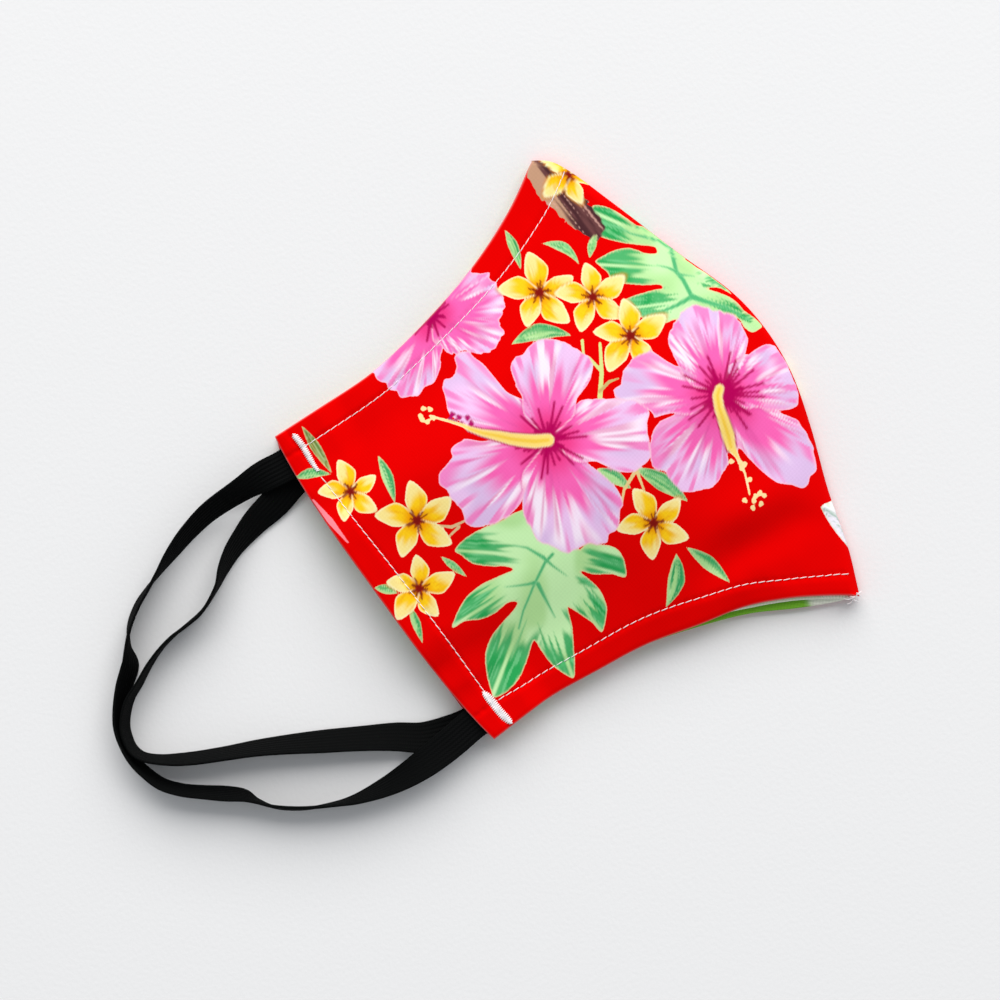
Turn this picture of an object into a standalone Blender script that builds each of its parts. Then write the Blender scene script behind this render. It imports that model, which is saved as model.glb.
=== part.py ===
"""Cloth face mask with two flat elastic ear loops, folded on its centre seam and lying on its side.

Metres. +X runs from the ear edge to the centre seam, +Y towards the nose end and +Z up.
The origin lies on the surface under the mask, half its depth from the ear edge and level
with the middle of that edge. Near is the upper half as it lies, and far is the half below.
"""

import math

import bmesh
import bpy

# Outline of one half, laid flat. Each size is taken from the middle of the ear edge.
EAR_EDGE = 0.093
DEPTH = 0.1150
NOSE_REACH = 0.0938
NOSE_RISE = 0.0654
CHIN_REACH = 0.0950
CHIN_DROP = 0.0710
EAR_BOW = 0.0023
FAR_PEEK = 0.0031

# Cloth and the space between its layers
WALL = 0.001
GAP = 0.0003
SEAM_GAP = 0.0004
LINING_SEAM_INSET = 0.0025
LINING_HEM_INSET = 0.0006

# How far the near half stands off the far one
MOUTH_LIFT = 0.0060
MOUTH_FLAT = 0.45
MOUTH_FALL = 2.0
CROWN_LIFT = 0.0088
CROWN_PEAK = 0.62
HEM_LIFT = 0.0012
FOLD_DEPTH = 0.0016

# Elastic
BAND_WIDTH = 0.008
BAND_THICKNESS = 0.0008
CORNER_INSET = 0.0032
TAIL = 0.010
LOOP_REACH = 0.0760
FLOOR_GAP = 0.0002
POCKET_FADE = 0.008

# Rows of the surface grids
ROWS_OUT = 20
ROWS_CURL = 3
ROWS_ALONG = 20
BAND_STEPS = 3

# Hem over the nose: share of NOSE_REACH, and the rise there as a share of the whole rise.
TOP_EDGE = [
    (0.00, 0.00),
    (0.16, -0.04),
    (0.32, -0.06),
    (0.52, 0.08),
    (0.70, 0.30),
    (0.86, 0.61),
    (1.00, 1.00),
]

# Hem under the chin: share of CHIN_REACH, the drop there as a share of the whole drop, and how much of
# FAR_PEEK the far half shows below the near one.
BOTTOM_EDGE = [
    (0.00, 0.00, 0.00),
    (0.18, -0.01, 0.05),
    (0.32, 0.05, 0.05),
    (0.47, 0.13, 0.05),
    (0.62, 0.29, 0.20),
    (0.74, 0.41, 0.70),
    (0.85, 0.61, 1.00),
    (0.94, 0.83, 0.65),
    (1.00, 1.00, 0.00),
]

# Centre seam, from chin to nose: share of the way, and how far it swells from its chord towards DEPTH.
SEAM = [
    (0.00, 0.00),
    (0.08, 0.23),
    (0.19, 0.46),
    (0.30, 0.74),
    (0.40, 0.94),
    (0.49, 1.00),
    (0.58, 0.94),
    (0.70, 0.69),
    (0.85, 0.40),
    (0.95, 0.19),
    (1.00, 0.00),
]

# Soft folds of the near half. out is a share of DEPTH and along of CHIN_DROP. Half length and half width
# are shares of DEPTH, turn is in degrees from +X, and depth is a share of FOLD_DEPTH, below 0 for a dent.
FOLDS = [
    {"out": 0.76, "along": -0.62, "length": 0.13, "width": 0.045, "turn": -14, "depth": -1.0},
    {"out": 0.77, "along": -0.80, "length": 0.10, "width": 0.035, "turn": -27, "depth": -0.7},
    {"out": 0.69, "along": -0.70, "length": 0.09, "width": 0.040, "turn": 20, "depth": 0.7},
    {"out": 0.84, "along": -0.20, "length": 0.14, "width": 0.060, "turn": -20, "depth": 0.5},
    {"out": 0.78, "along": 0.30, "length": 0.16, "width": 0.055, "turn": 30, "depth": -0.5},
    {"out": 0.40, "along": 0.30, "length": 0.18, "width": 0.070, "turn": 35, "depth": 0.6},
]

# Stations of the ear loops from nose side to chin side. out is a share of LOOP_REACH from the ear edge,
# along a share of the upper exit's distance from the middle of the ear edge, and roll the angle by which
# the band's outer edge is raised. lift is the share of the exit's height left above the lying surface.
NEAR_LOOP = [
    {"out": 0.03, "along": 1.00, "roll": 0, "lift": 1.00},
    {"out": 0.10, "along": 1.02, "roll": 14, "lift": 0.95},
    {"out": 0.18, "along": 1.035, "roll": 42, "lift": 0.55},
    {"out": 0.32, "along": 1.045, "roll": 56, "lift": 0.10},
    {"out": 0.42, "along": 1.015, "roll": 65, "lift": 0.0},
    {"out": 0.50, "along": 0.97, "roll": 74, "lift": 0.0},
    {"out": 0.58, "along": 0.915, "roll": 89, "lift": 0.0},
    {"out": 0.63, "along": 0.88, "roll": 98, "lift": 0.0},
    {"out": 0.694, "along": 0.83, "roll": 103, "lift": 0.0},
    {"out": 0.755, "along": 0.75, "roll": 101, "lift": 0.0},
    {"out": 0.799, "along": 0.65, "roll": 88, "lift": 0.0},
    {"out": 0.828, "along": 0.55, "roll": 66, "lift": 0.0},
    {"out": 0.883, "along": 0.465, "roll": 67, "lift": 0.0},
    {"out": 0.942, "along": 0.366, "roll": 78, "lift": 0.0},
    {"out": 0.977, "along": 0.268, "roll": 80, "lift": 0.0},
    {"out": 0.996, "along": 0.150, "roll": 81, "lift": 0.0},
    {"out": 1.00, "along": 0.040, "roll": 80, "lift": 0.0},
    {"out": 0.992, "along": -0.06, "roll": 79, "lift": 0.0},
    {"out": 0.971, "along": -0.18, "roll": 77, "lift": 0.0},
    {"out": 0.929, "along": -0.285, "roll": 75, "lift": 0.0},
    {"out": 0.880, "along": -0.37, "roll": 73, "lift": 0.0},
    {"out": 0.818, "along": -0.47, "roll": 70, "lift": 0.0},
    {"out": 0.775, "along": -0.545, "roll": 76, "lift": 0.0},
    {"out": 0.750, "along": -0.625, "roll": 91, "lift": 0.0},
    {"out": 0.714, "along": -0.72, "roll": 98, "lift": 0.0},
    {"out": 0.643, "along": -0.83, "roll": 98, "lift": 0.0},
    {"out": 0.552, "along": -0.925, "roll": 90, "lift": 0.0},
    {"out": 0.475, "along": -0.985, "roll": 77, "lift": 0.0},
    {"out": 0.37, "along": -1.03, "roll": 56, "lift": 0.10},
    {"out": 0.24, "along": -1.048, "roll": 29, "lift": 0.75},
    {"out": 0.125, "along": -1.042, "roll": 10, "lift": 1.00},
    {"out": 0.03, "along": -1.028, "roll": 0, "lift": 1.00},
]
FAR_LOOP = [
    {"out": 0.03, "along": 0.896, "roll": 0, "lift": 1.0},
    {"out": 0.13, "along": 0.85, "roll": 18, "lift": 0.3},
    {"out": 0.215, "along": 0.825, "roll": 38, "lift": 0.0},
    {"out": 0.283, "along": 0.79, "roll": 54, "lift": 0.0},
    {"out": 0.336, "along": 0.755, "roll": 64, "lift": 0.0},
    {"out": 0.39, "along": 0.70, "roll": 75, "lift": 0.0},
    {"out": 0.445, "along": 0.63, "roll": 89, "lift": 0.0},
    {"out": 0.53, "along": 0.56, "roll": 94, "lift": 0.0},
    {"out": 0.60, "along": 0.545, "roll": 93, "lift": 0.0},
    {"out": 0.66, "along": 0.54, "roll": 91, "lift": 0.0},
    {"out": 0.715, "along": 0.52, "roll": 90, "lift": 0.0},
    {"out": 0.775, "along": 0.48, "roll": 87, "lift": 0.0},
    {"out": 0.842, "along": 0.418, "roll": 84, "lift": 0.0},
    {"out": 0.888, "along": 0.382, "roll": 82, "lift": 0.0},
    {"out": 0.926, "along": 0.328, "roll": 81, "lift": 0.0},
    {"out": 0.959, "along": 0.255, "roll": 81, "lift": 0.0},
    {"out": 0.976, "along": 0.178, "roll": 81, "lift": 0.0},
    {"out": 0.981, "along": 0.103, "roll": 82, "lift": 0.0},
    {"out": 0.969, "along": 0.033, "roll": 82, "lift": 0.0},
    {"out": 0.930, "along": -0.045, "roll": 79, "lift": 0.0},
    {"out": 0.876, "along": -0.12, "roll": 74, "lift": 0.0},
    {"out": 0.823, "along": -0.18, "roll": 72, "lift": 0.0},
    {"out": 0.74, "along": -0.262, "roll": 70, "lift": 0.0},
    {"out": 0.66, "along": -0.338, "roll": 66, "lift": 0.0},
    {"out": 0.574, "along": -0.43, "roll": 60, "lift": 0.0},
    {"out": 0.465, "along": -0.557, "roll": 50, "lift": 0.0},
    {"out": 0.352, "along": -0.692, "roll": 44, "lift": 0.0},
    {"out": 0.26, "along": -0.81, "roll": 32, "lift": 0.0},
    {"out": 0.19, "along": -0.915, "roll": 20, "lift": 0.1},
    {"out": 0.11, "along": -0.98, "roll": 6, "lift": 0.7},
    {"out": 0.03, "along": -1.018, "roll": 0, "lift": 1.0},
]

STEP = WALL + GAP
POCKET = BAND_THICKNESS + GAP
STACK = 4 * WALL + 3 * GAP
EXIT = EAR_EDGE / 2 - CORNER_INSET - BAND_WIDTH / 2


def clear_scene():
    """Empty the file."""
    for thing in list(bpy.data.objects):
        bpy.data.objects.remove(thing, do_unlink=True)


def lerp(start, end, share):
    """Value at a share of the way from start to end."""
    return start + (end - start) * share


def fade(value, full, none):
    """1 up to full, falling smoothly to 0 at none."""
    share = min(max((value - none) / (full - none), 0.0), 1.0)
    return share * share * (3 - 2 * share)


def smooth(stops, values, at):
    """Value at a place on the smooth curve through the values at these rising stops."""
    last = len(stops) - 1
    slopes = []
    for i in range(last + 1):
        before = max(i - 1, 0)
        after = min(i + 1, last)
        slopes.append((values[after] - values[before]) / (stops[after] - stops[before]))
    i = 0
    while i < last - 1 and at > stops[i + 1]:
        i += 1
    span = stops[i + 1] - stops[i]
    u = (at - stops[i]) / span
    start = (1 + 2 * u) * (1 - u) ** 2 * values[i] + u * (1 - u) ** 2 * span * slopes[i]
    end = u * u * (3 - 2 * u) * values[i + 1] + u * u * (u - 1) * span * slopes[i + 1]
    return start + end


def column(table, number):
    """One column of a table."""
    return [row[number] for row in table]


def ear_edge(t, far):
    """Plan point of the ear edge, from its chin corner to its nose corner. The far half's corners are squarer."""
    power = 12 if far else 4
    return -EAR_BOW * (1 - abs(2 * t - 1) ** power), lerp(-EAR_EDGE / 2, EAR_EDGE / 2, t)


def seam(t):
    """Plan point of the centre seam's middle surface, from chin to nose."""
    chord = lerp(CHIN_REACH, NOSE_REACH, t)
    swell = smooth(column(SEAM, 0), column(SEAM, 1), t)
    return chord + swell * (DEPTH - chord) - WALL / 2, lerp(-CHIN_DROP, NOSE_RISE, t)


def top_edge(s):
    """Plan point of the hem over the nose, from the ear edge to the seam."""
    rise = smooth(column(TOP_EDGE, 0), column(TOP_EDGE, 1), s)
    return s * NOSE_REACH - s * WALL / 2, lerp(EAR_EDGE / 2, NOSE_RISE, rise)


def bottom_edge(s, far):
    """Plan point of the hem under the chin, from the ear edge to the seam."""
    drop = smooth(column(BOTTOM_EDGE, 0), column(BOTTOM_EDGE, 1), s)
    peek = smooth(column(BOTTOM_EDGE, 0), column(BOTTOM_EDGE, 2), s) * FAR_PEEK if far else 0.0
    return s * CHIN_REACH - s * WALL / 2, lerp(-EAR_EDGE / 2, -CHIN_DROP, drop) - peek


def plan(s, t, far):
    """Plan point of one half: s runs from ear edge to seam and t from chin to nose."""
    ear, front = ear_edge(t, far), seam(t)
    low, high = bottom_edge(s, far), top_edge(s)
    corners = (ear_edge(0, far), seam(0), ear_edge(1, far), seam(1))
    point = []
    for axis in range(2):
        across = lerp(ear[axis], front[axis], s)
        along = lerp(low[axis], high[axis], t)
        flat_low = lerp(corners[0][axis], corners[1][axis], s)
        flat_high = lerp(corners[2][axis], corners[3][axis], s)
        point.append(across + along - lerp(flat_low, flat_high, t))
    return point


def pocket(x, y):
    """Share of the elastic's pocket here, full over its sewn ends at the two ear corners."""
    inner_edge = EXIT - 1.5 * BAND_WIDTH
    beside = fade(abs(y), inner_edge + POCKET_FADE / 2, inner_edge - POCKET_FADE / 2)
    return beside * fade(x, TAIL + WALL, TAIL + WALL + POCKET_FADE)


def fold(x, y):
    """Height that the soft folds add to the near half here."""
    total = 0.0
    for row in FOLDS:
        dx = x - row["out"] * DEPTH
        dy = y - row["along"] * CHIN_DROP
        turn = math.radians(row["turn"])
        along = (dx * math.cos(turn) + dy * math.sin(turn)) / (row["length"] * DEPTH)
        across = (dy * math.cos(turn) - dx * math.sin(turn)) / (row["width"] * DEPTH)
        total += row["depth"] * FOLD_DEPTH * math.exp(-(along**2) - across**2)
    return total


def hollow(s, t, x, y):
    """Open height between the two linings, beyond the gap of layers that lie on each other."""
    closed_from = EXIT - BAND_WIDTH / 2
    mouth = MOUTH_LIFT * (1 - s) ** MOUTH_FALL * fade(abs(y), MOUTH_FLAT * closed_from, closed_from)
    crest = s ** (math.log(0.5) / math.log(CROWN_PEAK))
    crown = CROWN_LIFT * math.sin(math.pi * crest) * math.sin(math.pi * t)
    hem = HEM_LIFT * math.sin(math.pi * s)
    inside = min(1.0, 4 * (1 - s)) * math.sin(math.pi * t)
    return mouth + max(crown + hem + fold(x, y) * inside, 0.0) * (1 - pocket(x, y))


def sheet_height(layer, s, t, x, y):
    """Height of a layer's middle surface. Layers count up from the far outer panel."""
    pocket_here = pocket(x, y) * POCKET
    height = WALL / 2
    if layer >= 1:
        height += STEP + pocket_here
    if layer >= 2:
        height += STEP + hollow(s, t, x, y)
    if layer >= 3:
        height += STEP + pocket_here
    return height


def outer_rows():
    """(s, turn) of each grid row from ear edge to seam, with the quarter turn into the seam."""
    turn_height = (STACK - SEAM_GAP) / 2 - WALL / 2
    reach = turn_height / DEPTH
    rows = [((1 - reach) * i / ROWS_OUT, 0.0) for i in range(ROWS_OUT + 1)]
    for i in range(1, ROWS_CURL + 1):
        turn = math.pi / 2 * i / ROWS_CURL
        rows.append((1 - reach * (1 - math.sin(turn)), turn_height * (1 - math.cos(turn))))
    return rows


def lining_rows():
    """(s, turn) of each grid row of a lining, which ends just inside the hem and the outer seam."""
    start = LINING_HEM_INSET / DEPTH
    end = 1 - LINING_SEAM_INSET / DEPTH
    return [(lerp(start, end, i / ROWS_OUT), 0.0) for i in range(ROWS_OUT + 1)]


def make_material(name, colour, roughness):
    """Plain finish of one sub-part."""
    material = bpy.data.materials.new(name)
    material.use_nodes = True
    shader = material.node_tree.nodes["Principled BSDF"]
    shader.inputs["Base Color"].default_value = (*colour, 1.0)
    shader.inputs["Roughness"].default_value = roughness
    shader.inputs["Metallic"].default_value = 0.0
    return material


def make_panel(name, layer, rows, hem_inset, material, collection):
    """One cloth panel: a flat grid laid along the outline at its layer's height, and given its wall."""
    far = layer < 2
    lift_sign = 1 if far else -1
    mesh = bpy.data.meshes.new(name)
    grid = bmesh.new()
    bmesh.ops.create_grid(grid, x_segments=len(rows) - 1, y_segments=ROWS_ALONG, size=0.5)
    for vertex in grid.verts:
        s, turn_lift = rows[round((vertex.co.x + 0.5) * (len(rows) - 1))]
        t = lerp(hem_inset / EAR_EDGE, 1 - hem_inset / EAR_EDGE, vertex.co.y + 0.5)
        x, y = plan(s, t, far)
        z = sheet_height(layer, s, t, x, y) + lift_sign * turn_lift
        vertex.co = (x - DEPTH / 2, y, z)
    grid.to_mesh(mesh)
    grid.free()
    mesh.materials.append(material)
    mesh.shade_smooth()
    panel = bpy.data.objects.new(name, mesh)
    wall = panel.modifiers.new("wall", "SOLIDIFY")
    wall.thickness = WALL
    wall.offset = 0.0
    wall.use_even_offset = True
    collection.objects.link(panel)
    return panel


def band_stations(table, exit_height):
    """The route of a loop as (x, y, z, roll) stations, with a sewn tail inside each end."""
    stations = []
    for row in table:
        roll = math.radians(row["roll"])
        stand = BAND_WIDTH / 2 * abs(math.sin(roll)) + BAND_THICKNESS / 2 * abs(math.cos(roll)) + FLOOR_GAP
        lying = BAND_THICKNESS / 2 + FLOOR_GAP
        height = stand + row["lift"] * (exit_height - lying)
        stations.append((-row["out"] * LOOP_REACH - DEPTH / 2, row["along"] * EXIT, height, roll))
    first, last = stations[0], stations[-1]
    inside = TAIL - DEPTH / 2
    middle = (inside + first[0]) / 2
    start = [(inside, *first[1:]), (middle, *first[1:])]
    end = [(middle, *last[1:]), (inside, *last[1:])]
    return start + stations + end


def make_band(name, table, exit_height, material, collection):
    """One ear loop: a flat band on a smooth route, with round edges and closed ends."""
    stations = band_stations(table, exit_height)
    stops = [0.0]
    for before, after in zip(stations, stations[1:]):
        stops.append(stops[-1] + math.dist(before[:3], after[:3]))
    places = []
    for before, after in zip(stops, stops[1:]):
        places += [lerp(before, after, i / BAND_STEPS) for i in range(BAND_STEPS)]
    places.append(stops[-1])
    curve = bpy.data.curves.new(name, "CURVE")
    curve.dimensions = "3D"
    curve.twist_mode = "Z_UP"
    curve.use_fill_caps = True
    curve.extrude = (BAND_WIDTH - BAND_THICKNESS) / 2
    curve.bevel_depth = BAND_THICKNESS / 2
    curve.bevel_resolution = 0
    spline = curve.splines.new("POLY")
    spline.points.add(len(places) - 1)
    columns = [[station[i] for station in stations] for i in range(4)]
    for point, place in zip(spline.points, places):
        x, y, z, roll = (smooth(stops, values, place) for values in columns)
        point.co = (x, y, z, 1.0)
        point.tilt = math.pi / 2 - roll
    curve.materials.append(material)
    band = bpy.data.objects.new(name, curve)
    collection.objects.link(band)
    return band


def main():
    """Build the mask."""
    clear_scene()
    collection = bpy.data.collections.new("cloth_face_mask")
    bpy.context.scene.collection.children.link(collection)
    outer_cotton = make_material("outer_cotton", (0.72, 0.006, 0.006), 0.85)
    lining_cotton = make_material("lining_cotton", (0.15, 0.45, 0.03), 0.85)
    elastic = make_material("elastic", (0.010, 0.011, 0.013), 0.7)
    make_panel("outer_far", 0, outer_rows(), 0.0, outer_cotton, collection)
    make_panel("lining_far", 1, lining_rows(), LINING_HEM_INSET, lining_cotton, collection)
    make_panel("lining_near", 2, lining_rows(), LINING_HEM_INSET, lining_cotton, collection)
    make_panel("outer_near", 3, outer_rows(), 0.0, outer_cotton, collection)
    far_exit = WALL + GAP + BAND_THICKNESS / 2
    near_exit = far_exit + POCKET + 2 * STEP
    make_band("ear_loop_far", FAR_LOOP, far_exit, elastic, collection)
    make_band("ear_loop_near", NEAR_LOOP, near_exit, elastic, collection)


main()
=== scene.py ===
"""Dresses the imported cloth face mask: printed cotton, lining, topstitching, bar tacks and ribbed elastic.

Sizes are metres in the part's frame: +X runs from the ear edge to the centre seam, +Y towards the nose
end and +Z up. The print is laid out in millimetres in its own frame, turned from the part's in the plane.
"""

import logging
import math
from dataclasses import dataclass, field, replace
from enum import Enum

import bpy
import numpy as np
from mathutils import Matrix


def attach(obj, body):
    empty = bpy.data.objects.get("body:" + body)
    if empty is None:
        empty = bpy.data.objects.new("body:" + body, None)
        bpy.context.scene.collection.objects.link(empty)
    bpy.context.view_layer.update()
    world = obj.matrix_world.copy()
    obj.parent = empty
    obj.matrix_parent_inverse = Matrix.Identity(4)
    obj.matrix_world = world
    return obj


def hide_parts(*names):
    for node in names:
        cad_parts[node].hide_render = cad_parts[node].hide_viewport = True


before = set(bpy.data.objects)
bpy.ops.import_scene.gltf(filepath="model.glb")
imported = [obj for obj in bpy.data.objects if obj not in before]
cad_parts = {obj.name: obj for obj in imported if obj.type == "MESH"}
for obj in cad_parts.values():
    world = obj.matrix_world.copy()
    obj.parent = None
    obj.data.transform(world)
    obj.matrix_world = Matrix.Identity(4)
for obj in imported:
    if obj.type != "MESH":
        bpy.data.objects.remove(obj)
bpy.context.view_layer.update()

LOG = logging.getLogger("cloth_face_mask")
MM = 0.001

Array = np.ndarray
Tree, Node, Socket = bpy.types.NodeTree, bpy.types.Node, bpy.types.NodeSocket
Material, Piece = bpy.types.Material, bpy.types.Object


def linear(colour: str) -> tuple[float, float, float]:
    """Turn an sRGB hex colour into linear red, green and blue.

    Args:
        colour: Six hex digits after a #.

    Returns:
        The three linear values.
    """
    parts = [int(colour[i : i + 2], 16) / 255 for i in (1, 3, 5)]
    red, green, blue = (c / 12.92 if c <= 0.04045 else ((c + 0.055) / 1.055) ** 2.4 for c in parts)
    return red, green, blue


def lerp(start, end, share):
    """Value, or array of values, at a share of the way from start to end."""
    return start + (end - start) * share


def ramp(value: Array, none: float, full: float) -> Array:
    """0 at none, rising smoothly to 1 at full.

    Args:
        value: Where to read it.
        none: The value that gives 0, which may be the greater one.
        full: The value that gives 1.

    Returns:
        An array of shares.
    """
    share = np.clip((value - none) / (full - none), 0.0, 1.0)
    return share * share * (3 - 2 * share)


def smooth(stops, values, at: Array) -> Array:
    """Read the smooth curve through these values at rising stops.

    Args:
        stops: Places of the values, rising.
        values: The value at each stop.
        at: Where to read the curve.

    Returns:
        The curve's values.
    """
    stops, values = np.asarray(stops, float), np.asarray(values, float)
    before = np.maximum(np.arange(len(stops)) - 1, 0)
    after = np.minimum(np.arange(len(stops)) + 1, len(stops) - 1)
    slopes = (values[after] - values[before]) / (stops[after] - stops[before])
    i = np.clip(np.searchsorted(stops, at, side="left") - 1, 0, len(stops) - 2)
    span = stops[i + 1] - stops[i]
    u = (at - stops[i]) / span
    start = (1 + 2 * u) * (1 - u) ** 2 * values[i] + u * (1 - u) ** 2 * span * slopes[i]
    end = u * u * (3 - 2 * u) * values[i + 1] + u * u * (u - 1) * span * slopes[i + 1]
    return start + end


def noise(x: Array, y: Array, seed: float) -> Array:
    """Smooth noise from 0 to 1 that is the same on every run.

    Args:
        x: First coordinate, one bump to a unit.
        y: Second coordinate.
        seed: Picks the pattern.

    Returns:
        One value for each point.
    """
    x, y = np.broadcast_arrays(np.asarray(x, float), np.asarray(y, float))
    left, low = np.floor(x), np.floor(y)

    def corner(i: int, j: int) -> Array:
        """Fixed value of one corner of the cell."""
        wave = np.sin((left + i) * 127.1 + (low + j) * 311.7 + seed * 74.7) * 43758.5453
        return wave - np.floor(wave)

    u, v = x - left, y - low
    u, v = u * u * (3 - 2 * u), v * v * (3 - 2 * v)
    return lerp(lerp(corner(0, 0), corner(1, 0), u), lerp(corner(0, 1), corner(1, 1), u), v)


def add(tree: Tree, kind: str, inputs: dict | None = None, **settings) -> Node:
    """Add one node with its settings and links.

    Args:
        tree: Where it goes.
        kind: The node's type, without its ShaderNode.
        inputs: Value or socket for each input, by name or number.
        settings: The node's own properties.

    Returns:
        The node.
    """
    node = tree.nodes.new("ShaderNode" + kind)
    for key, value in settings.items():
        setattr(node, key, value)
    for key, value in (inputs or {}).items():
        if isinstance(value, Socket):
            tree.links.new(value, node.inputs[key])
        else:
            node.inputs[key].default_value = value
    return node


def turned(x: Array, y: Array, angle: float) -> tuple[Array, Array]:
    """Coordinates along a direction at this angle, and across it to the left."""
    return x * math.cos(angle) + y * math.sin(angle), y * math.cos(angle) - x * math.sin(angle)


def beside_line(x: Array, y: Array, first: Array, last: Array) -> tuple[float, Array, Array]:
    """Where points lie beside a line from first to last.

    Args:
        x: Coordinates of the points.
        y: Coordinates of the points.
        first: The line's start.
        last: The line's end.

    Returns:
        The line's length, each point's share of the way along it, and its distance to the left.
    """
    length = math.dist(first, last)
    ux, uy = (last[0] - first[0]) / length, (last[1] - first[1]) / length
    x, y = x - first[0], y - first[1]
    return length, (x * ux + y * uy) / length, y * ux - x * uy


def run_length(line: Array) -> Array:
    """Distance along a line to each of its points."""
    return np.concatenate([[0], np.cumsum(np.linalg.norm(np.diff(line, axis=0), axis=1))])


def even_shares(steps: int) -> Array:
    """Shares from 0 to 1 in equal steps."""
    return np.arange(steps + 1) / steps


class Half(Enum):
    """One half of the folded mask, as it lies."""

    NEAR = "near"
    FAR = "far"


class Slot(Enum):
    """Names of the mask's material slots."""

    OUTER = "outer_cotton"
    LINING = "lining_cotton"
    ELASTIC = "elastic"
    THREAD = "thread"


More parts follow.
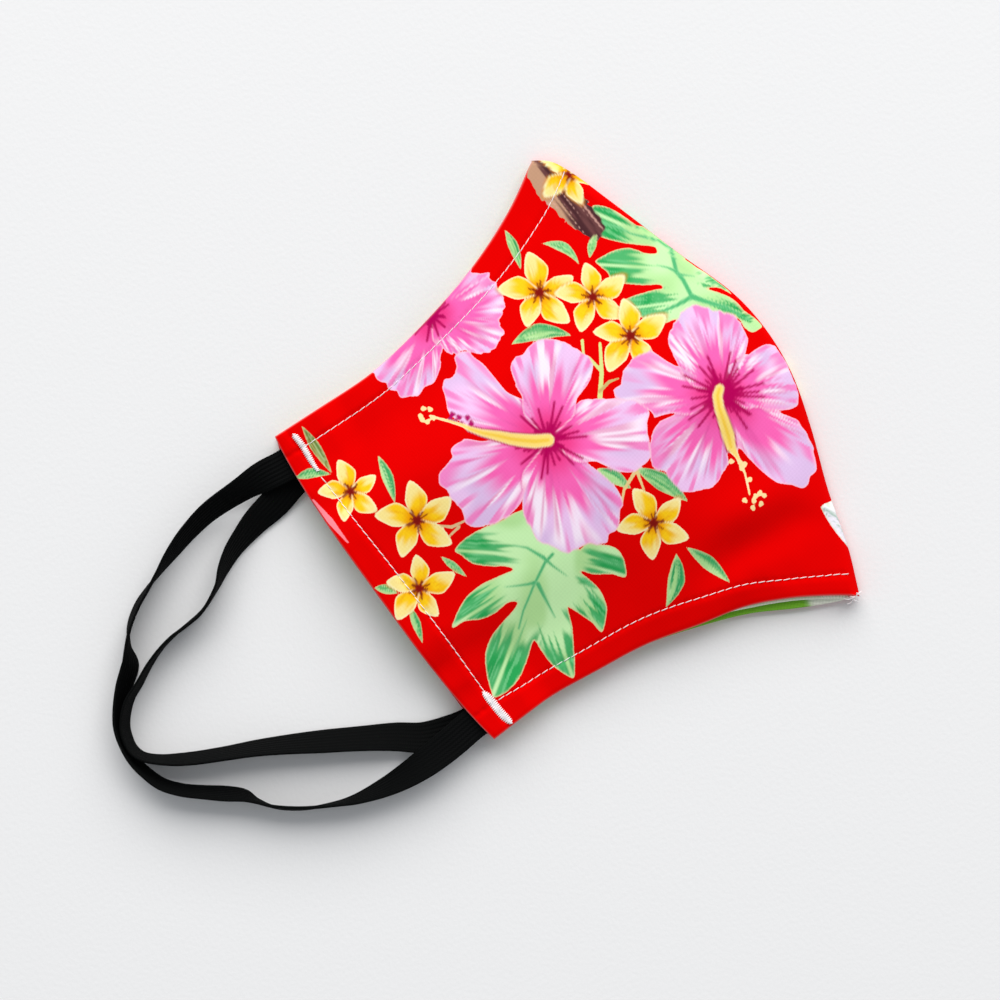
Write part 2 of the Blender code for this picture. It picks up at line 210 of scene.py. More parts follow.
@dataclass(frozen=True)
class MaskShape:
    """The mask's outline and the heights of its layers, with the same sizes as the CAD source."""

    ear_edge_length: float = 0.093
    depth: float = 0.1150
    nose_reach: float = 0.0938
    nose_rise: float = 0.0654
    chin_reach: float = 0.0950
    chin_drop: float = 0.0710
    ear_bow: float = 0.0023
    far_peek: float = 0.0031
    wall: float = 0.001
    gap: float = 0.0003
    seam_gap: float = 0.0004
    mouth_lift: float = 0.0060
    mouth_flat: float = 0.45
    mouth_fall: float = 2.0
    crown_lift: float = 0.0088
    crown_peak: float = 0.62
    hem_lift: float = 0.0012
    fold_depth: float = 0.0016
    band_width: float = 0.008
    band_thickness: float = 0.0008
    corner_inset: float = 0.0032
    tail: float = 0.010
    loop_reach: float = 0.0760
    floor_gap: float = 0.0002
    corner_from: float = 0.965
    corner_cut: float = 0.0016
    pocket_fade: float = 0.008
    top_table: tuple = (
        (0.00, 0.00), (0.16, -0.04), (0.32, -0.06), (0.52, 0.08), (0.70, 0.30), (0.86, 0.61), (1.00, 1.00),
    )
    bottom_table: tuple = (
        (0.00, 0.00, 0.00), (0.18, -0.01, 0.05), (0.32, 0.05, 0.05), (0.47, 0.13, 0.05), (0.62, 0.29, 0.20),
        (0.74, 0.41, 0.70), (0.85, 0.61, 1.00), (0.94, 0.83, 0.65), (1.00, 1.00, 0.00),
    )
    seam_table: tuple = (
        (0.00, 0.00), (0.08, 0.23), (0.19, 0.46), (0.30, 0.74), (0.40, 0.94), (0.49, 1.00), (0.58, 0.94),
        (0.70, 0.69), (0.85, 0.40), (0.95, 0.19), (1.00, 0.00),
    )
    # Out, along, length, width, turn and depth of each soft fold.
    folds: tuple = (
        (0.735, -0.66, 0.14, 0.050, -8, -2.6), (0.79, -0.54, 0.13, 0.050, -8, 1.6),
        (0.85, -0.70, 0.08, 0.035, -38, -1.6), (0.68, -0.70, 0.10, 0.050, 10, 1.4),
        (0.84, -0.20, 0.14, 0.060, -20, 0.5), (0.78, 0.30, 0.16, 0.055, 30, -0.5),
        (0.40, 0.30, 0.18, 0.070, 35, 0.6), (0.23, 0.19, 0.14, 0.140, 0, 0.8),
        (0.56, 0.155, 0.12, 0.110, 0, -0.8), (0.765, -0.30, 0.10, 0.090, 0, -0.6),
    )

    @property
    def step(self) -> float:
        """Rise from one layer to the next."""
        return self.wall + self.gap

    @property
    def pocket_rise(self) -> float:
        """Rise that the elastic's sewn end adds between two layers."""
        return self.band_thickness + self.gap

    @property
    def stack(self) -> float:
        """Height of the four layers lying on each other."""
        return 4 * self.wall + 3 * self.gap

    @property
    def exit(self) -> float:
        """Distance of each upper elastic exit from the middle of the ear edge."""
        return self.ear_edge_length / 2 - self.corner_inset - self.band_width / 2

    @property
    def seam_turn(self) -> float:
        """Radius of the outer cloth's middle surface where it turns into the seam."""
        return (self.stack - self.seam_gap) / 2 - self.wall / 2

    def ear_edge(self, t: Array, far: bool) -> tuple[Array, Array]:
        """Plan of the ear edge, from its chin corner to its nose corner."""
        power = 12 if far else 4
        bow = -self.ear_bow * (1 - np.abs(2 * t - 1) ** power)
        return bow, lerp(-self.ear_edge_length / 2, self.ear_edge_length / 2, t)

    def seam(self, t: Array) -> tuple[Array, Array]:
        """Plan of the centre seam's middle surface, from chin to nose."""
        chord = lerp(self.chin_reach, self.nose_reach, t)
        swell = smooth(*zip(*self.seam_table), t)
        return chord + swell * (self.depth - chord) - self.wall / 2, lerp(-self.chin_drop, self.nose_rise, t)

    def top_edge(self, s: Array) -> tuple[Array, Array]:
        """Plan of the hem over the nose, from the ear edge to the seam."""
        rise = smooth(*zip(*self.top_table), s)
        return s * self.nose_reach - s * self.wall / 2, lerp(self.ear_edge_length / 2, self.nose_rise, rise)

    def bottom_edge(self, s: Array, far: bool) -> tuple[Array, Array]:
        """Plan of the hem under the chin, from the ear edge to the seam."""
        stops, drops, peeks = zip(*self.bottom_table)
        drop = smooth(stops, drops, s)
        peek = smooth(stops, peeks, s) * self.far_peek if far else 0.0
        down = lerp(-self.ear_edge_length / 2, -self.chin_drop, drop) - peek
        return s * self.chin_reach - s * self.wall / 2, down

    def plan(self, s: Array, t: Array, far: bool) -> tuple[Array, Array]:
        """Plan of one half, from the ear edge.

        Args:
            s: Share of the way from ear edge to seam.
            t: Share of the way from chin to nose.
            far: True for the half below.

        Returns:
            x and y.
        """
        none, whole = np.zeros(1), np.ones(1)
        ear, front = self.ear_edge(t, far), self.seam(t)
        low, high = self.bottom_edge(s, far), self.top_edge(s)
        corners = (self.ear_edge(none, far), self.seam(none), self.ear_edge(whole, far), self.seam(whole))
        point = []
        for axis in range(2):
            flat_low = lerp(corners[0][axis], corners[1][axis], s)
            flat_high = lerp(corners[2][axis], corners[3][axis], s)
            across, along = lerp(ear[axis], front[axis], s), lerp(low[axis], high[axis], t)
            point.append(across + along - lerp(flat_low, flat_high, t))
        corner = np.clip((s - self.corner_from) / (1 - self.corner_from), 0, 1)
        corner = (corner * np.clip((t - self.corner_from) / (1 - self.corner_from), 0, 1)) ** 2
        return point[0] - 0.8 * self.corner_cut * corner, point[1] - 0.6 * self.corner_cut * corner

    def place(self, x: Array, y: Array, far: bool) -> tuple[Array, Array]:
        """s and t of points given by their plan distances from the middle of the ear edge."""
        s, t = x / self.depth, y / self.ear_edge_length + 0.5
        for _ in range(12):
            at_x, at_y = self.plan(s, t, far)
            s, t = s + (x - at_x) / self.depth, t + (y - at_y) / self.ear_edge_length
        return s, t

    def pocket(self, x: Array, y: Array) -> Array:
        """Share of the elastic's pocket, full over its sewn ends."""
        inner_edge = self.exit - 1.5 * self.band_width
        beside = ramp(np.abs(y), inner_edge - self.pocket_fade / 2, inner_edge + self.pocket_fade / 2)
        return beside * ramp(x, self.tail + self.wall + self.pocket_fade, self.tail + self.wall)

    def fold(self, x: Array, y: Array) -> Array:
        """Height that the soft folds add to the near half."""
        total = np.zeros(np.broadcast(x, y).shape)
        for out, low, length, width, degrees, depth in self.folds:
            dx, dy = x - out * self.depth, y - low * self.chin_drop
            along, across = turned(dx, dy, math.radians(degrees))
            along, across = along / (length * self.depth), across / (width * self.depth)
            total += depth * self.fold_depth * np.exp(-(along**2) - across**2)
        return total

    def hollow(self, s: Array, t: Array, x: Array, y: Array) -> Array:
        """Open height between the two linings."""
        closed_from = self.exit - self.band_width / 2
        beside = ramp(np.abs(y), closed_from, self.mouth_flat * closed_from)
        mouth = self.mouth_lift * np.maximum(1 - s, 0) ** self.mouth_fall * beside
        crest = np.maximum(s, 0) ** (math.log(0.5) / math.log(self.crown_peak))
        crown = self.crown_lift * np.sin(math.pi * crest) * np.sin(math.pi * t)
        hem = self.hem_lift * np.sin(math.pi * s)
        inside = np.minimum(1.0, 4 * np.maximum(1 - s, 0)) * np.maximum(np.sin(math.pi * t), 0) ** 0.45
        lift = np.maximum(crown + hem + self.fold(x, y) * inside, 0.0)
        return mouth + lift * (1 - self.pocket(x, y))

    def sheet_height(self, layer: int, s: Array, t: Array, x: Array, y: Array) -> Array:
        """Height of a layer's middle surface.

        Args:
            layer: 0 to 3, up from the far outer panel.
            s: Share of the way from ear edge to seam.
            t: Share of the way from chin to nose.
            x: Plan distance from the ear edge.
            y: Plan distance from its middle.

        Returns:
            Height over the surface under the mask.
        """
        pocket_here = self.pocket(x, y) * self.pocket_rise
        height = self.wall / 2 + np.zeros(np.broadcast(x, y).shape)
        if layer >= 1:
            height += self.step + pocket_here
        if layer >= 2:
            height += self.step + self.hollow(s, t, x, y)
        if layer >= 3:
            height += self.step + pocket_here
        return height

    def hem_share(self, s: Array, inset: Array | float, top: bool, far: bool) -> Array:
        """t of the line that runs this far inside a hem, at each s."""
        eps = 1e-3
        low, high = np.clip(s - eps, 0, 1), np.clip(s + eps, 0, 1)
        if top:
            first, last = self.top_edge(low), self.top_edge(high)
        else:
            first, last = self.bottom_edge(low, far), self.bottom_edge(high, far)
        slope = (last[1] - first[1]) / (last[0] - first[0])
        height = self.top_edge(s)[1] - self.bottom_edge(s, far)[1]
        share = inset * np.sqrt(1 + slope**2) / height
        return 1 - share if top else share


SHAPE = MaskShape()

# The print's red ground, and the turn of the print's frame, which is the photograph's, from the part's.
GROUND = "#E20202"
PRINT_TURN = math.atan2(0.587, 0.81)


@dataclass
class PrintCanvas:
    """Printed colour at each point of a panel, and how far the point lies inside the print, in mm."""

    right: Array
    up: Array
    soft: float = 0.32
    margin: float = 2.0
    colour: Array = field(init=False)
    cover: Array = field(init=False)

    def __post_init__(self) -> None:
        """Start with bare ground."""
        self.colour = np.tile(np.array(linear(GROUND)), (len(self.right), 1))
        self.cover = np.full(len(self.right), -self.margin)

    def near(self, centre: tuple[float, float], radius: float) -> tuple[Array, Array, Array]:
        """Points round a place.

        Args:
            centre: The place in mm.
            radius: How far from it to look.

        Returns:
            The points' numbers, and their coordinates from the centre.
        """
        x, y = self.right - centre[0], self.up - centre[1]
        index = np.flatnonzero(np.hypot(x, y) < radius)
        return index, x[index], y[index]

    def lay(self, index: Array, distance: Array, colour: Array) -> None:
        """Print over what is there.

        Args:
            index: The points' numbers.
            distance: How far inside the new shape each one lies, in mm.
            colour: Linear colour of each one.
        """
        under = self.cover[index]
        share = np.where(under > 0, np.clip(distance / self.soft + 0.5, 0, 1), distance > under)
        self.colour[index] = lerp(self.colour[index], colour, share[:, None])
        self.cover[index] = np.maximum(under, distance)

    def shade(self, index: Array, share: Array, colour: str) -> None:
        """Tint what is already printed, without changing its outline."""
        inside = (share * (self.cover[index] > -0.4))[:, None]
        self.colour[index] = lerp(self.colour[index], np.array(linear(colour)), inside)


def mix(first: Array | str, second: Array | str, share: Array) -> Array:
    """Colour between two colours, for each point."""
    ends = [np.array(linear(c)) if isinstance(c, str) else c for c in (first, second)]
    return lerp(ends[0], ends[1], np.clip(share, 0, 1)[:, None])


def stroke_distance(x: Array, y: Array, points: tuple, widths: tuple) -> Array:
    """How far inside a brush stroke each point lies.

    Args:
        x: Coordinates in mm.
        y: Coordinates in mm.
        points: The stroke's line.
        widths: Its width at each point of the line.

    Returns:
        Distances in mm, below 0 outside.
    """
    best = np.full(len(x), -9.0)
    for (x0, y0), (x1, y1), w0, w1 in zip(points, points[1:], widths, widths[1:]):
        length = math.hypot(x1 - x0, y1 - y0)
        u = np.clip(((x - x0) * (x1 - x0) + (y - y0) * (y1 - y0)) / length**2, 0, 1)
        away = np.hypot(x - lerp(x0, x1, u), y - lerp(y0, y1, u))
        best = np.maximum(best, lerp(w0, w1, u) / 2 - away)
    return best


@dataclass(frozen=True)
class Stroke:
    """One brush stroke, such as a stem or a vein."""

    points: tuple
    widths: tuple
    colour: str
    edge: str = ""

    def paint(self, canvas: PrintCanvas) -> None:
        """Print it."""
        centre = tuple(np.mean(self.points, axis=0))
        reach = max(math.dist(centre, p) for p in self.points) + max(self.widths) + canvas.margin
        index, x, y = canvas.near(centre, reach)
        distance = stroke_distance(x + centre[0], y + centre[1], self.points, self.widths)
        colour = mix(self.colour, self.edge or self.colour, ramp(distance, 0.3, 0.0))
        canvas.lay(index, distance, colour)


@dataclass(frozen=True)
class Hibiscus:
    """A pink hibiscus: ruffled petals, a magenta throat with rays, and a long cream stamen."""

    centre: tuple
    petals: tuple
    stamen: tuple = ()
    cream: tuple = ()
    dark: tuple = ()
    turn: float = 0.0
    seed: int = 1
    throat: float = 1.9
    rays: int = 30
    pale_from: float = 0.47

    def petal(self, canvas: PrintCanvas, number: int) -> None:
        """Print one petal, by its number in the table."""
        outline = np.array(self.petals[number], float)
        middle, half = (outline[0, 0] + outline[-1, 0]) / 2, (outline[-1, 0] - outline[0, 0]) / 2
        size = outline[:, 1].max()
        index, x, y = canvas.near(self.centre, size * 1.1 + canvas.margin)
        turn, seed = math.radians(middle + self.turn), self.seed * 7.0 + number
        ahead, side = turned(x, y, turn)
        angle, out = np.degrees(np.arctan2(side, ahead)), np.hypot(x, y)
        inside = np.clip(angle, -half, half)
        rim = smooth(outline[:, 0] - middle, outline[:, 1], inside)
        slope = smooth(outline[:, 0] - middle, outline[:, 1], np.clip(inside + 0.5, -half, half)) - rim
        for ruffle, spacing, other in ((0.6, 5, 0), (0.9, 2.6, 21)):
            rim = rim + ruffle * (noise(inside / spacing, 0.5, seed + other) - 0.5)
        distance = (rim - out) / np.sqrt(1 + (slope / math.radians(0.5) / np.maximum(out, 2.0)) ** 2)
        spread = half + 2.5 * (noise(out / 4, np.sign(angle), seed) - 0.5)
        spread = spread + 14 * ramp(out, 0.52 * size, 0.30 * size)
        beside = np.radians(np.clip(spread - np.abs(angle), -90, 90))
        distance = np.minimum(distance, out * np.sin(beside))
        # A petal lies over its neighbour, whose colour deepens beside the upper one's edge.
        shadow = 0.55 * ramp(distance, -1.0, -0.1) * (distance < 0) * (out > 3) * (out < rim)
        canvas.shade(index, shadow, "#DC4A9C")
        a, v = out / (0.5 * rim + 0.5 * size), angle / half
        near_rim = out / rim
        streak, hair = noise(angle / 9 + 3, a * 1.1, seed), noise(angle / 2.7, a * 1.4, seed + 11)
        colour = mix("#EC3D88", "#F765B4", ramp(a, 0.16, 0.42))
        reach = a + 0.18 * (streak - 0.5) + 0.32 * (hair - 0.5) + 0.10 * v**2
        pale = ramp(reach, self.pale_from, self.pale_from + 0.28)
        colour = mix(colour, mix("#EDC4EE", "#DDBDE6", ramp(noise(v * 2, a * 3, seed + 4), 0.3, 0.7)), pale)
        gleam = ramp(noise(angle / 5 + 20, a * 1.8, seed + 5) + 0.35 * (hair - 0.5), 0.50, 0.82)
        colour = mix(colour, "#FDF0FC", 0.9 * (gleam * ramp(reach, 0.44, 0.64)) * ramp(near_rim, 1.06, 0.88))
        strokes = ramp(noise(angle / 3.2 + 31, near_rim * 0.9, seed + 8), 0.48, 0.66)
        colour = mix(colour, "#F47EC2", 0.9 * strokes * ramp(near_rim + 0.22 * (hair - 0.5), 0.72, 0.92))
        edge = ramp(noise(v * 2 + 3, a * 2.5, seed + 15), 0.45, 0.65) * ramp(np.abs(v), 0.7, 0.95)
        colour = mix(colour, "#F591CB", 0.8 * edge * ramp(a, 0.3, 0.5))
        hairs = 0.55 * ramp(hair, 0.62, 0.86) * ramp(a, 0.18, 0.34) * ramp(a, 0.95, 0.72)
        colour = mix(colour, "#DC4E9C", hairs)
        colour = mix(colour, "#FBC4D8", 0.85 * ramp(distance, 0.42, 0.08))
        canvas.lay(index, distance, colour)

    def paint(self, canvas: PrintCanvas) -> None:
        """Print the flower."""
        for petal in range(len(self.petals)):
            self.petal(canvas, petal)
        size = max(r for petal in self.petals for _, r in petal)
        index, x, y = canvas.near(self.centre, size * 0.6)
        radius = np.hypot(x, y) * (1 + 0.3 * (noise(np.arctan2(y, x) * 2.5, 0.5, self.seed) - 0.5))
        canvas.shade(index, 0.96 * ramp(radius, self.throat * 1.35, self.throat * 0.8), "#C4005A")
        canvas.shade(index, 0.55 * ramp(radius, self.throat * 0.8, 0.0), "#8E0046")
        # Dark rays run out of the throat, each bent and reaching out in its own way.
        for k in range(self.rays):
            reach = self.throat + size * (0.17 + 0.10 * math.sin(k * 2.7 + self.seed * 1.3))
            angle = 2 * math.pi * (k + 0.55 * math.sin(k * 5.1 + self.seed)) / self.rays
            along, across = turned(x, y, angle)
            across = np.abs(across - 0.05 * math.sin(k * 1.9) * along**2 / reach)
            half = 0.25 + 0.34 * ramp(along, reach * 0.7, 0.0)
            inside = ramp(across, half + 0.22, half - 0.12) * (along > 0) * ramp(along, reach, reach * 0.92)
            canvas.shade(index, 0.94 * inside, "#B00655")
        self.paint_stamen(canvas)

    def paint_stamen(self, canvas: PrintCanvas) -> None:
        """Print the stamen over its shadow, with the anthers round its tip."""
        turn = math.radians(self.turn)

        def put(px: float, py: float) -> tuple[float, float]:
            """Place on the print of a point of the flower."""
            return (
                self.centre[0] + px * math.cos(turn) - py * math.sin(turn),
                self.centre[1] + px * math.sin(turn) + py * math.cos(turn),
            )

        def dots(places: tuple, colour: str) -> None:
            """Print a small ragged blot at each place."""
            for k, (px, py) in enumerate(places):
                away = (0.5 * math.cos(k * 2.4), 0.5 * math.sin(k * 2.4))
                Stroke((put(px, py), put(px + away[0], py + away[1])), (1.25, 0.8), colour).paint(canvas)
                Stroke((put(px, py), put(px - away[1], py + away[0])), (0.9, 0.5), colour).paint(canvas)

        if not self.stamen:
            return
        dots(self.dark, "#B01466")
        line = tuple(put(px, py) for px, py, _ in self.stamen)
        widths = tuple(width for _, _, width in self.stamen)
        thick = sum(width > 1.1 for width in widths)
        Stroke(line[:thick], tuple(w + 0.7 for w in widths[:thick]), "#B5124F").paint(canvas)
        Stroke(line, widths, "#F9D978", "#FDEBC2").paint(canvas)
        Stroke(line[:thick], tuple(w * 0.30 for w in widths[:thick]), "#F2C84A").paint(canvas)
        dots(self.cream, "#FBE0A2")


@dataclass(frozen=True)
class Plumeria:
    """A yellow plumeria with five pointed petals, pale rims and a dark red star in its centre."""

    centre: tuple
    radius: float
    degrees: float
    seed: int

    def paint(self, canvas: PrintCanvas) -> None:
        """Print the flower."""
        for k in range(5):
            self.petal(canvas, k)
        index, x, y = canvas.near(self.centre, self.radius * 0.6)
        canvas.shade(index, ramp(np.hypot(x, y), self.radius * 0.16, self.radius * 0.08), "#AC1C12")
        for k in range(13):
            angle = 2 * math.pi * (k + 0.35 * math.sin(k * 3.9 + self.seed)) / 13
            reach = self.radius * (0.27 + 0.07 * math.sin(k * 2.1 + self.seed))
            along, across = turned(x, y, angle)
            inside = ramp(np.abs(across), 0.34, 0.12) * (along > 0) * ramp(along, reach, reach * 0.9)
            canvas.shade(index, 0.9 * inside, "#7E1712")

    def petal(self, canvas: PrintCanvas, number: int) -> None:
        """Print one petal, by its number round the flower."""
        seed = self.seed * 5.0 + number
        length = self.radius * (1 + 0.07 * math.sin(seed * 2.9))
        index, x, y = canvas.near(self.centre, length * 1.1 + canvas.margin)
        turn = math.radians(self.degrees - 72 * number + 5 * math.sin(seed * 1.7))
        a, side = turned(x, y, turn)
        a = a / length
        side = side + 0.07 * length * np.sin(math.pi * np.clip(a, 0, 1))
        half = length * 0.285
        wide = 0.24 + 0.76 * np.sin(math.pi / 2 * np.clip(a / 0.55, 0, 1)) ** 1.3
        over = np.clip((a - 0.55) / 0.45, 0, None)
        q = (over**1.12 + (np.abs(side) / half / wide) ** 1.6) ** (1 / 1.4)
        q = q + 0.05 * (noise(np.arctan2(side, a * length - length * 0.5) * 2, 0.5, seed) - 0.5)
        distance = (1 - q) * half * wide
        distance = np.where(a < 0, np.minimum(distance, a * length), distance)
        v = side / half
        canvas.shade(index, 0.6 * ramp(distance, -0.7, 0.0) * (distance < 0) * (a > 0.15), "#D9871A")
        brush = noise(v * 3 + 5, a * 1.5, seed)
        colour = mix("#F29C04", "#FDCB1C", ramp(a, 0.14, 0.42))
        pale = ramp(a + 0.34 * (brush - 0.5) + 0.26 * v, 0.44, 0.74)
        colour = mix(colour, "#FBE592", pale)
        hairs = ramp(noise(v * 9, a * 1.5, seed + 2), 0.58, 0.82)
        colour = mix(colour, "#EFA41A", 0.55 * hairs * ramp(a, 0.85, 0.4))
        colour = mix(colour, "#FBF0C0", 0.8 * ramp(distance, 0.6, 0.1))
        canvas.lay(index, distance, colour)


@dataclass(frozen=True)
class Blade:
    """A pointed leaf, brushed dark on one side of its midline."""

    base: tuple
    tip: tuple
    width: float
    bend: float = 0.0
    seed: int = 1
    dark: str = "#3DA765"
    light: str = "#A9DA90"
    widest: float = 0.45

    def half_width(self, a: Array) -> Array:
        """Half width at a share of the way to the tip, drawn to a point at both ends."""
        tip = 1 - (np.clip((a - self.widest) / (1 - self.widest), 0, 1)) ** 1.7
        root = 1 - (1 - np.clip(a / self.widest, 0, 1)) ** 1.7
        return self.width / 2 * np.where(a > self.widest, tip, root)

    def paint(self, canvas: PrintCanvas) -> None:
        """Print it."""
        length = math.dist(self.base, self.tip)
        centre = ((self.base[0] + self.tip[0]) / 2, (self.base[1] + self.tip[1]) / 2)
        index, x, y = canvas.near(centre, length * 0.62 + self.width + canvas.margin)
        _, a, side = beside_line(x + centre[0], y + centre[1], self.base, self.tip)
        side = side - self.bend * 4 * a * (1 - a)
        inside = np.clip(a, 0.0, 1.0)
        half = self.half_width(inside) * (1 + 0.10 * (noise(a * 6, np.sign(side), self.seed) - 0.5))
        distance = (half - np.abs(side)) * 0.92
        distance = np.where((a < 0) | (a > 1), -np.hypot((a - inside) * length, side), distance)
        v = side / np.maximum(half, 0.6)
        brush = noise(v * 4 + 7, a * 2.2, self.seed + 2)
        fine = noise(v * 11, a * 3.0, self.seed + 4)
        axis = lerp(0.4, 1.0, ramp(np.abs(v), 0.03, 0.22))
        dark = ramp(brush + 0.35 * v, 0.2, 0.5) * ramp(a, 0.02, 0.2) * axis
        colour = mix(self.light, self.dark, 0.95 * dark)
        colour = mix(colour, "#1E9350", 0.6 * dark * ramp(fine, 0.45, 0.75))
        colour = mix(colour, "#CDEDB4", 0.55 * ramp(fine, 0.36, 0.18) * lerp(1.0, 0.5, dark))
        colour = mix(colour, "#E2CF9A", 0.62 * ramp(distance, 0.36, 0.05))
        canvas.lay(index, distance, colour)


def outline_distance(x: Array, y: Array, outline: Array) -> Array:
    """How far inside a closed outline each point lies, in mm, below 0 outside.

    Args:
        x: Coordinates in mm.
        y: Coordinates in mm.
        outline: Corners of the outline, in order.

    Returns:
        Distances in mm.
    """
    best, inside = np.full(len(x), 99.0), np.zeros(len(x), bool)
    for (x0, y0), (x1, y1) in zip(outline, np.roll(outline, -1, axis=0)):
        u = ((x - x0) * (x1 - x0) + (y - y0) * (y1 - y0)) / ((x1 - x0) ** 2 + (y1 - y0) ** 2)
        u = np.clip(u, 0, 1)
        best = np.minimum(best, np.hypot(x - lerp(x0, x1, u), y - lerp(y0, y1, u)))
        if y0 != y1:
            inside ^= ((y0 > y) != (y1 > y)) & (x < x0 + (y - y0) * (x1 - x0) / (y1 - y0))
    return np.where(inside, best, -best)


@dataclass(frozen=True)
class LobedLeaf:
    """A large pale leaf of pointed lobes, brushed dark towards each tip but for a light midline."""

    outline: tuple
    # Base, tip and width of each lobe.
    lobes: tuple
    # Points of each rib, and its width at both ends.
    ribs: tuple
    seed: int = 1
    turn: float = 0.0
    shift: tuple = (0.0, 0.0)

    def put(self, points: tuple) -> Array:
        """Points of the leaf, turned round its middle and shifted."""
        turn, middle = math.radians(self.turn), np.mean(self.outline, axis=0)
        spin = np.array(((math.cos(turn), math.sin(turn)), (-math.sin(turn), math.cos(turn))))
        return (np.array(points, float) - middle) @ spin + middle + self.shift

    def paint(self, canvas: PrintCanvas) -> None:
        """Print it: the pale leaf first, then its dark brushwork and the ribs."""
        corners = self.put(self.outline)
        # The outline is the smooth curve through its corners, which rounds them.
        order = np.arange(len(corners) + 6) - 3.0
        at = np.arange(0, len(corners), 0.25)
        wrapped = np.concatenate([corners[-3:], corners, corners[:3]])
        curve = np.stack([smooth(order, wrapped[:, k], at) for k in (0, 1)], axis=-1)
        centre = tuple(curve.mean(axis=0))
        reach = float(np.linalg.norm(curve - centre, axis=1).max())
        index, x, y = canvas.near(centre, reach + canvas.margin)
        x, y = x + centre[0], y + centre[1]
        distance = outline_distance(x, y, curve) + 0.12 * (noise(x * 1.5, y * 1.5, self.seed) - 0.5)
        cloud = noise(x * 0.16, y * 0.16, self.seed + 1)
        colour = mix("#B4E29A", "#C9F3B4", ramp(cloud, 0.25, 0.7))
        for number, (base, tip, width) in enumerate(self.lobes):
            seed = self.seed * 9.0 + number
            _, a, side = beside_line(x, y, *self.put((base, tip)))
            v = side / (width / 2)
            hairs, broad = noise(v * 9, a * 1.6, seed), noise(v * 2.2 + 5, a * 1.3, seed + 1)
            start = 0.24 + 0.08 * math.sin(seed * 2.1)
            dark = ramp(a + 0.42 * (hairs - 0.5) + 0.25 * (broad - 0.5), start + 0.04, start + 0.22)
            dark = dark * ramp(np.abs(v - 0.1 * math.sin(seed)), 0.03, 0.16)
            dark = dark * ramp(np.abs(v), 1.25, 1.0) * (a < 1.05) * (distance > 0.15)
            colour = mix(colour, "#3FAE66", 0.94 * dark)
            deep = dark * ramp(noise(v * 3 + 9, a * 2.0, seed + 3), 0.42, 0.62) * ramp(a, 0.45, 0.6)
            colour = mix(colour, "#1FA050", 0.8 * deep)
            colour = mix(colour, "#8ADB9C", 0.5 * dark * ramp(noise(v * 14, a * 4, seed + 4), 0.6, 0.8))
        colour = mix(colour, "#E9D09E", 0.8 * ramp(distance, 0.42, 0.08))
        canvas.lay(index, distance, colour)
        for points, first, last in self.ribs:
            line = tuple(map(tuple, self.put(points)))
            widths = tuple(lerp(first, last, i / (len(line) - 1)) for i in range(len(line)))
            Stroke(line, widths, "#54B676", "#7CCB8E").paint(canvas)


@dataclass(frozen=True)
class Branch:
    """A short piece of brown bark with light streaks."""

    points: tuple
    width: float
    seed: int = 3

    def paint(self, canvas: PrintCanvas) -> None:
        """Print it."""
        centre = tuple(np.mean(self.points, axis=0))
        index, x, y = canvas.near(centre, 2 * self.width + math.dist(self.points[0], self.points[-1]))
        x, y = x + centre[0], y + centre[1]
        widths = tuple(self.width * share for share in (1.0, 1.0, 0.92, 0.66))
        rough = 1.1 * (noise(x * 1.1, y * 1.1, self.seed) - 0.5)
        distance = stroke_distance(x, y, self.points, widths) + rough
        length, along, side = beside_line(x, y, self.points[0], self.points[-1])
        grain = noise(side * 1.6, along * length * 0.22, self.seed + 1)
        colour = mix("#4A2A2E", "#6B4242", ramp(grain, 0.3, 0.7))
        colour = mix(colour, "#C2977A", ramp(side + 2.4 * (grain - 0.5) + 4.4 * along, 0.4, -0.8))
        colour = mix(colour, "#D9A79A", 0.7 * ramp(noise(side * 3.1, grain, self.seed + 4), 0.74, 0.84))
        canvas.lay(index, distance, colour)


def pairs(*tenths: int) -> tuple:
    """Points in mm, from a row of tenths."""
    return tuple((a / 10, b / 10) for a, b in zip(tenths[::2], tenths[1::2]))


def petal_rim(*row: int) -> tuple:
    """A petal's outline in degrees and mm, from a row of degrees and tenths by turns."""
    return tuple((angle, tenths / 10) for angle, tenths in zip(row[::2], row[1::2]))


def blades(*rows: tuple) -> tuple:
    """Leaves from rows of base, tip, width, bend and seed, and their colours where they differ."""
    return tuple(Blade(row[:2], row[2:4], *row[4:]) for row in rows)


def plumerias(*rows: tuple) -> tuple:
    """Plumerias from rows of centre, radius, degrees and seed."""
    return tuple(Plumeria(row[:2], *row[2:]) for row in rows)


# Each petal's outline: degrees round the flower's centre, and how far out the rim is, in tenths of a mm.
OPEN_PETALS = (
    petal_rim(
        -180, 208, -175, 236, -170, 242, -166, 257, -163, 277, -158, 285, -154, 277, -147, 277, -143, 269,
        -139, 273, -134, 287, -127, 267, -120, 226, -116, 198, -113, 169,
    ),
    petal_rim(
        -115, 135, -113, 161, -108, 193, -102, 214, -97, 242, -92, 256, -89, 260, -83, 275, -79, 284,
        -75, 275, -69, 273, -64, 286, -60, 292, -57, 275, -52, 277, -46, 255, -40, 240, -36, 209, -34, 185,
        -30, 113,
    ),
    petal_rim(
        -25, 173, -22, 213, -15, 244, -10, 255, -2, 249, 4, 246, 10, 245, 15, 257, 19, 255, 25, 231, 29, 206,
        37, 167, 43, 149, 50, 127, 53, 96,
    ),
    petal_rim(
        131, 293, 134, 308, 138, 311, 141, 292, 146, 281, 150, 298, 158, 271, 166, 246, 171, 175,
    ),
    petal_rim(
        55, 181, 59, 216, 66, 231, 77, 240, 84, 250, 90, 250, 96, 247, 101, 239, 106, 223, 111, 219, 117, 200,
        120, 153,
    ),
)
